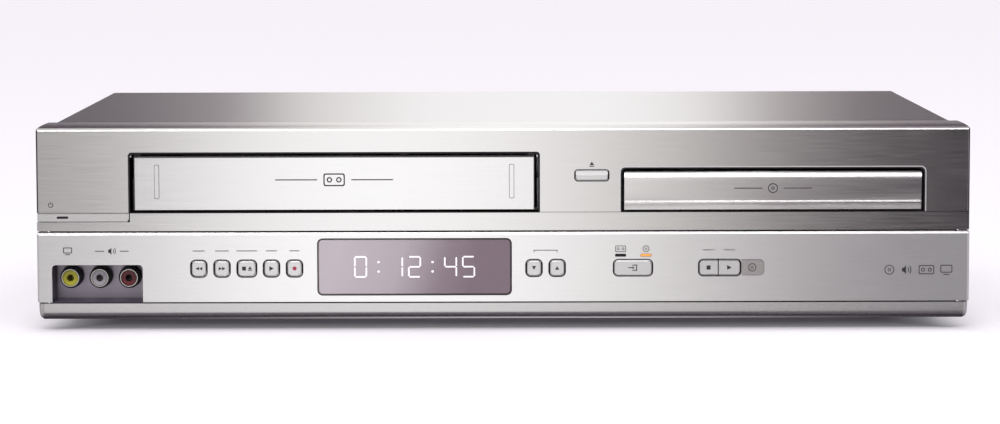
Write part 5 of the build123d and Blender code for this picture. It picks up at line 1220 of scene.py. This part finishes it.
# Cards stand round the set. Looking level from the object, the light runs from a mid tone
# at the left through white to a deep violet at the right. A place on a card is the
# direction's x plus a half.
FRONT_CARDS = (
    (0.00, "#9A999A"), (0.22, "#8C8A8C"), (0.36, "#908D8D"), (0.390, "#A8A6A5"),
    (0.412, "#ECEBEA"), (0.44, "#FFFFFF"), (0.485, "#FFFFFF"), (0.52, "#E6E5E3"),
    (0.555, "#B8B5B2"), (0.588, "#665E61"), (0.610, "#1E1721"), (0.74, "#1A141D"),
    (1.00, "#8E8C90"),
)
BACK_CARDS = (
    (0.00, "#8E8C90"), (0.24, "#4A4349"), (0.385, "#4F474E"), (0.42, "#827A7D"),
    (0.442, "#DBD8D5"), (0.475, "#FCFBFA"), (0.53, "#FFFFFE"), (0.556, "#F2F0EE"),
    (0.582, "#A09998"), (0.606, "#5F565B"), (0.76, "#463E48"), (1.00, "#8E8C90"),
)
CEILING_CARDS = (
    (0.00, "#FFFFFF"), (0.54, "#FFFFFF"), (0.60, "#8F888F"), (0.70, "#7A737A"), (0.78, "#FFFFFF"),
)
GROUND_TONE = "#150F18"
WORLD_STRENGTH = 1.12

world = bpy.data.worlds.new("soft_studio")
bpy.context.scene.world = world
world.use_nodes = True
tree = world.node_tree
tree.nodes.clear()
direction = add(tree, "ShaderNodeTexCoord").outputs["Generated"]
axes = add(tree, "ShaderNodeSeparateXYZ", {"Vector": direction})
position = add(tree, "ShaderNodeMath", {0: axes.outputs["X"], 1: 0.5}, operation="ADD")
behind = add(tree, "ShaderNodeMapRange", {
    "Value": axes.outputs["Y"], "From Min": -0.1, "From Max": 0.1,
})
cards = add(tree, "ShaderNodeMix", {
    "Factor": behind,
    "A": add(tree, "ShaderNodeValToRGB", {"Fac": position}, stops=FRONT_CARDS),
    "B": add(tree, "ShaderNodeValToRGB", {"Fac": position}, stops=BACK_CARDS),
}, data_type="RGBA")
# Higher up the cards give way to a pale ceiling, whose middle is less bright and which has
# a grey card to the right of it, and below to a deep violet ground.
ceiling = add(tree, "ShaderNodeMapRange", {
    "Value": axes.outputs["Z"], "From Min": 0.36, "From Max": 0.56,
}, interpolation_type="SMOOTHSTEP")
zenith = add(tree, "ShaderNodeMapRange", {
    "Value": axes.outputs["Z"], "From Min": 0.86, "From Max": 0.98, "To Min": 0.92, "To Max": 0.05,
}, interpolation_type="SMOOTHSTEP")
lifted = add(tree, "ShaderNodeMix", {
    "Factor": add(tree, "ShaderNodeMath", {0: ceiling, 1: zenith}, operation="MULTIPLY"),
    "A": cards,
    "B": add(tree, "ShaderNodeValToRGB", {"Fac": position}, stops=CEILING_CARDS),
}, data_type="RGBA")
ground = add(tree, "ShaderNodeMapRange", {
    "Value": axes.outputs["Z"], "From Min": -0.8, "From Max": -0.94,
}, interpolation_type="SMOOTHSTEP")
whole = add(tree, "ShaderNodeMix", {
    "Factor": ground, "A": lifted, "B": linear(GROUND_TONE),
}, data_type="RGBA")
light = add(tree, "ShaderNodeBackground", {"Color": whole, "Strength": WORLD_STRENGTH})
add(tree, "ShaderNodeOutputWorld", {"Surface": light})

LAMP_OUT = 1.8
LAMP_UP = 1.75
softbox = bpy.data.lights.new("softbox", "AREA")
softbox.shape = "RECTANGLE"
softbox.size = 2.0
softbox.size_y = 0.8
softbox.energy = 22.0
lamp = stand("softbox", softbox)
lamp.location = (0.0, -LAMP_OUT, LAMP_UP)
lamp.rotation_euler = (math.atan2(LAMP_OUT, LAMP_UP), 0, 0)

# The camera stands 1.7 m in front and looks down a few degrees, through a long lens.
CAMERA_PLACE = (0.0001, -1.7071, 0.2043)
CAMERA_YAW = math.radians(0.055)
CAMERA_PITCH = math.radians(5.398)
CAMERA_ROLL = math.radians(-0.136)
across = Vector((math.cos(CAMERA_YAW), math.sin(CAMERA_YAW), 0))
level = Vector((-math.sin(CAMERA_YAW), math.cos(CAMERA_YAW), 0))
up = Vector((0, 0, 1))
ahead = math.cos(CAMERA_PITCH) * level - math.sin(CAMERA_PITCH) * up
upright = math.sin(CAMERA_PITCH) * level + math.cos(CAMERA_PITCH) * up
right = math.cos(CAMERA_ROLL) * across + math.sin(CAMERA_ROLL) * upright
above = -math.sin(CAMERA_ROLL) * across + math.cos(CAMERA_ROLL) * upright
lens = bpy.data.cameras.new("camera")
lens.lens = 122.17
lens.sensor_width = 36.0
lens.clip_end = 100.0
camera = stand("camera", lens)
camera.matrix_world = Matrix.Translation(CAMERA_PLACE) @ Matrix(
    (right, above, -ahead)
).transposed().to_4x4()
bpy.context.scene.camera = camera
bpy.context.scene.view_settings.view_transform = "Standard"
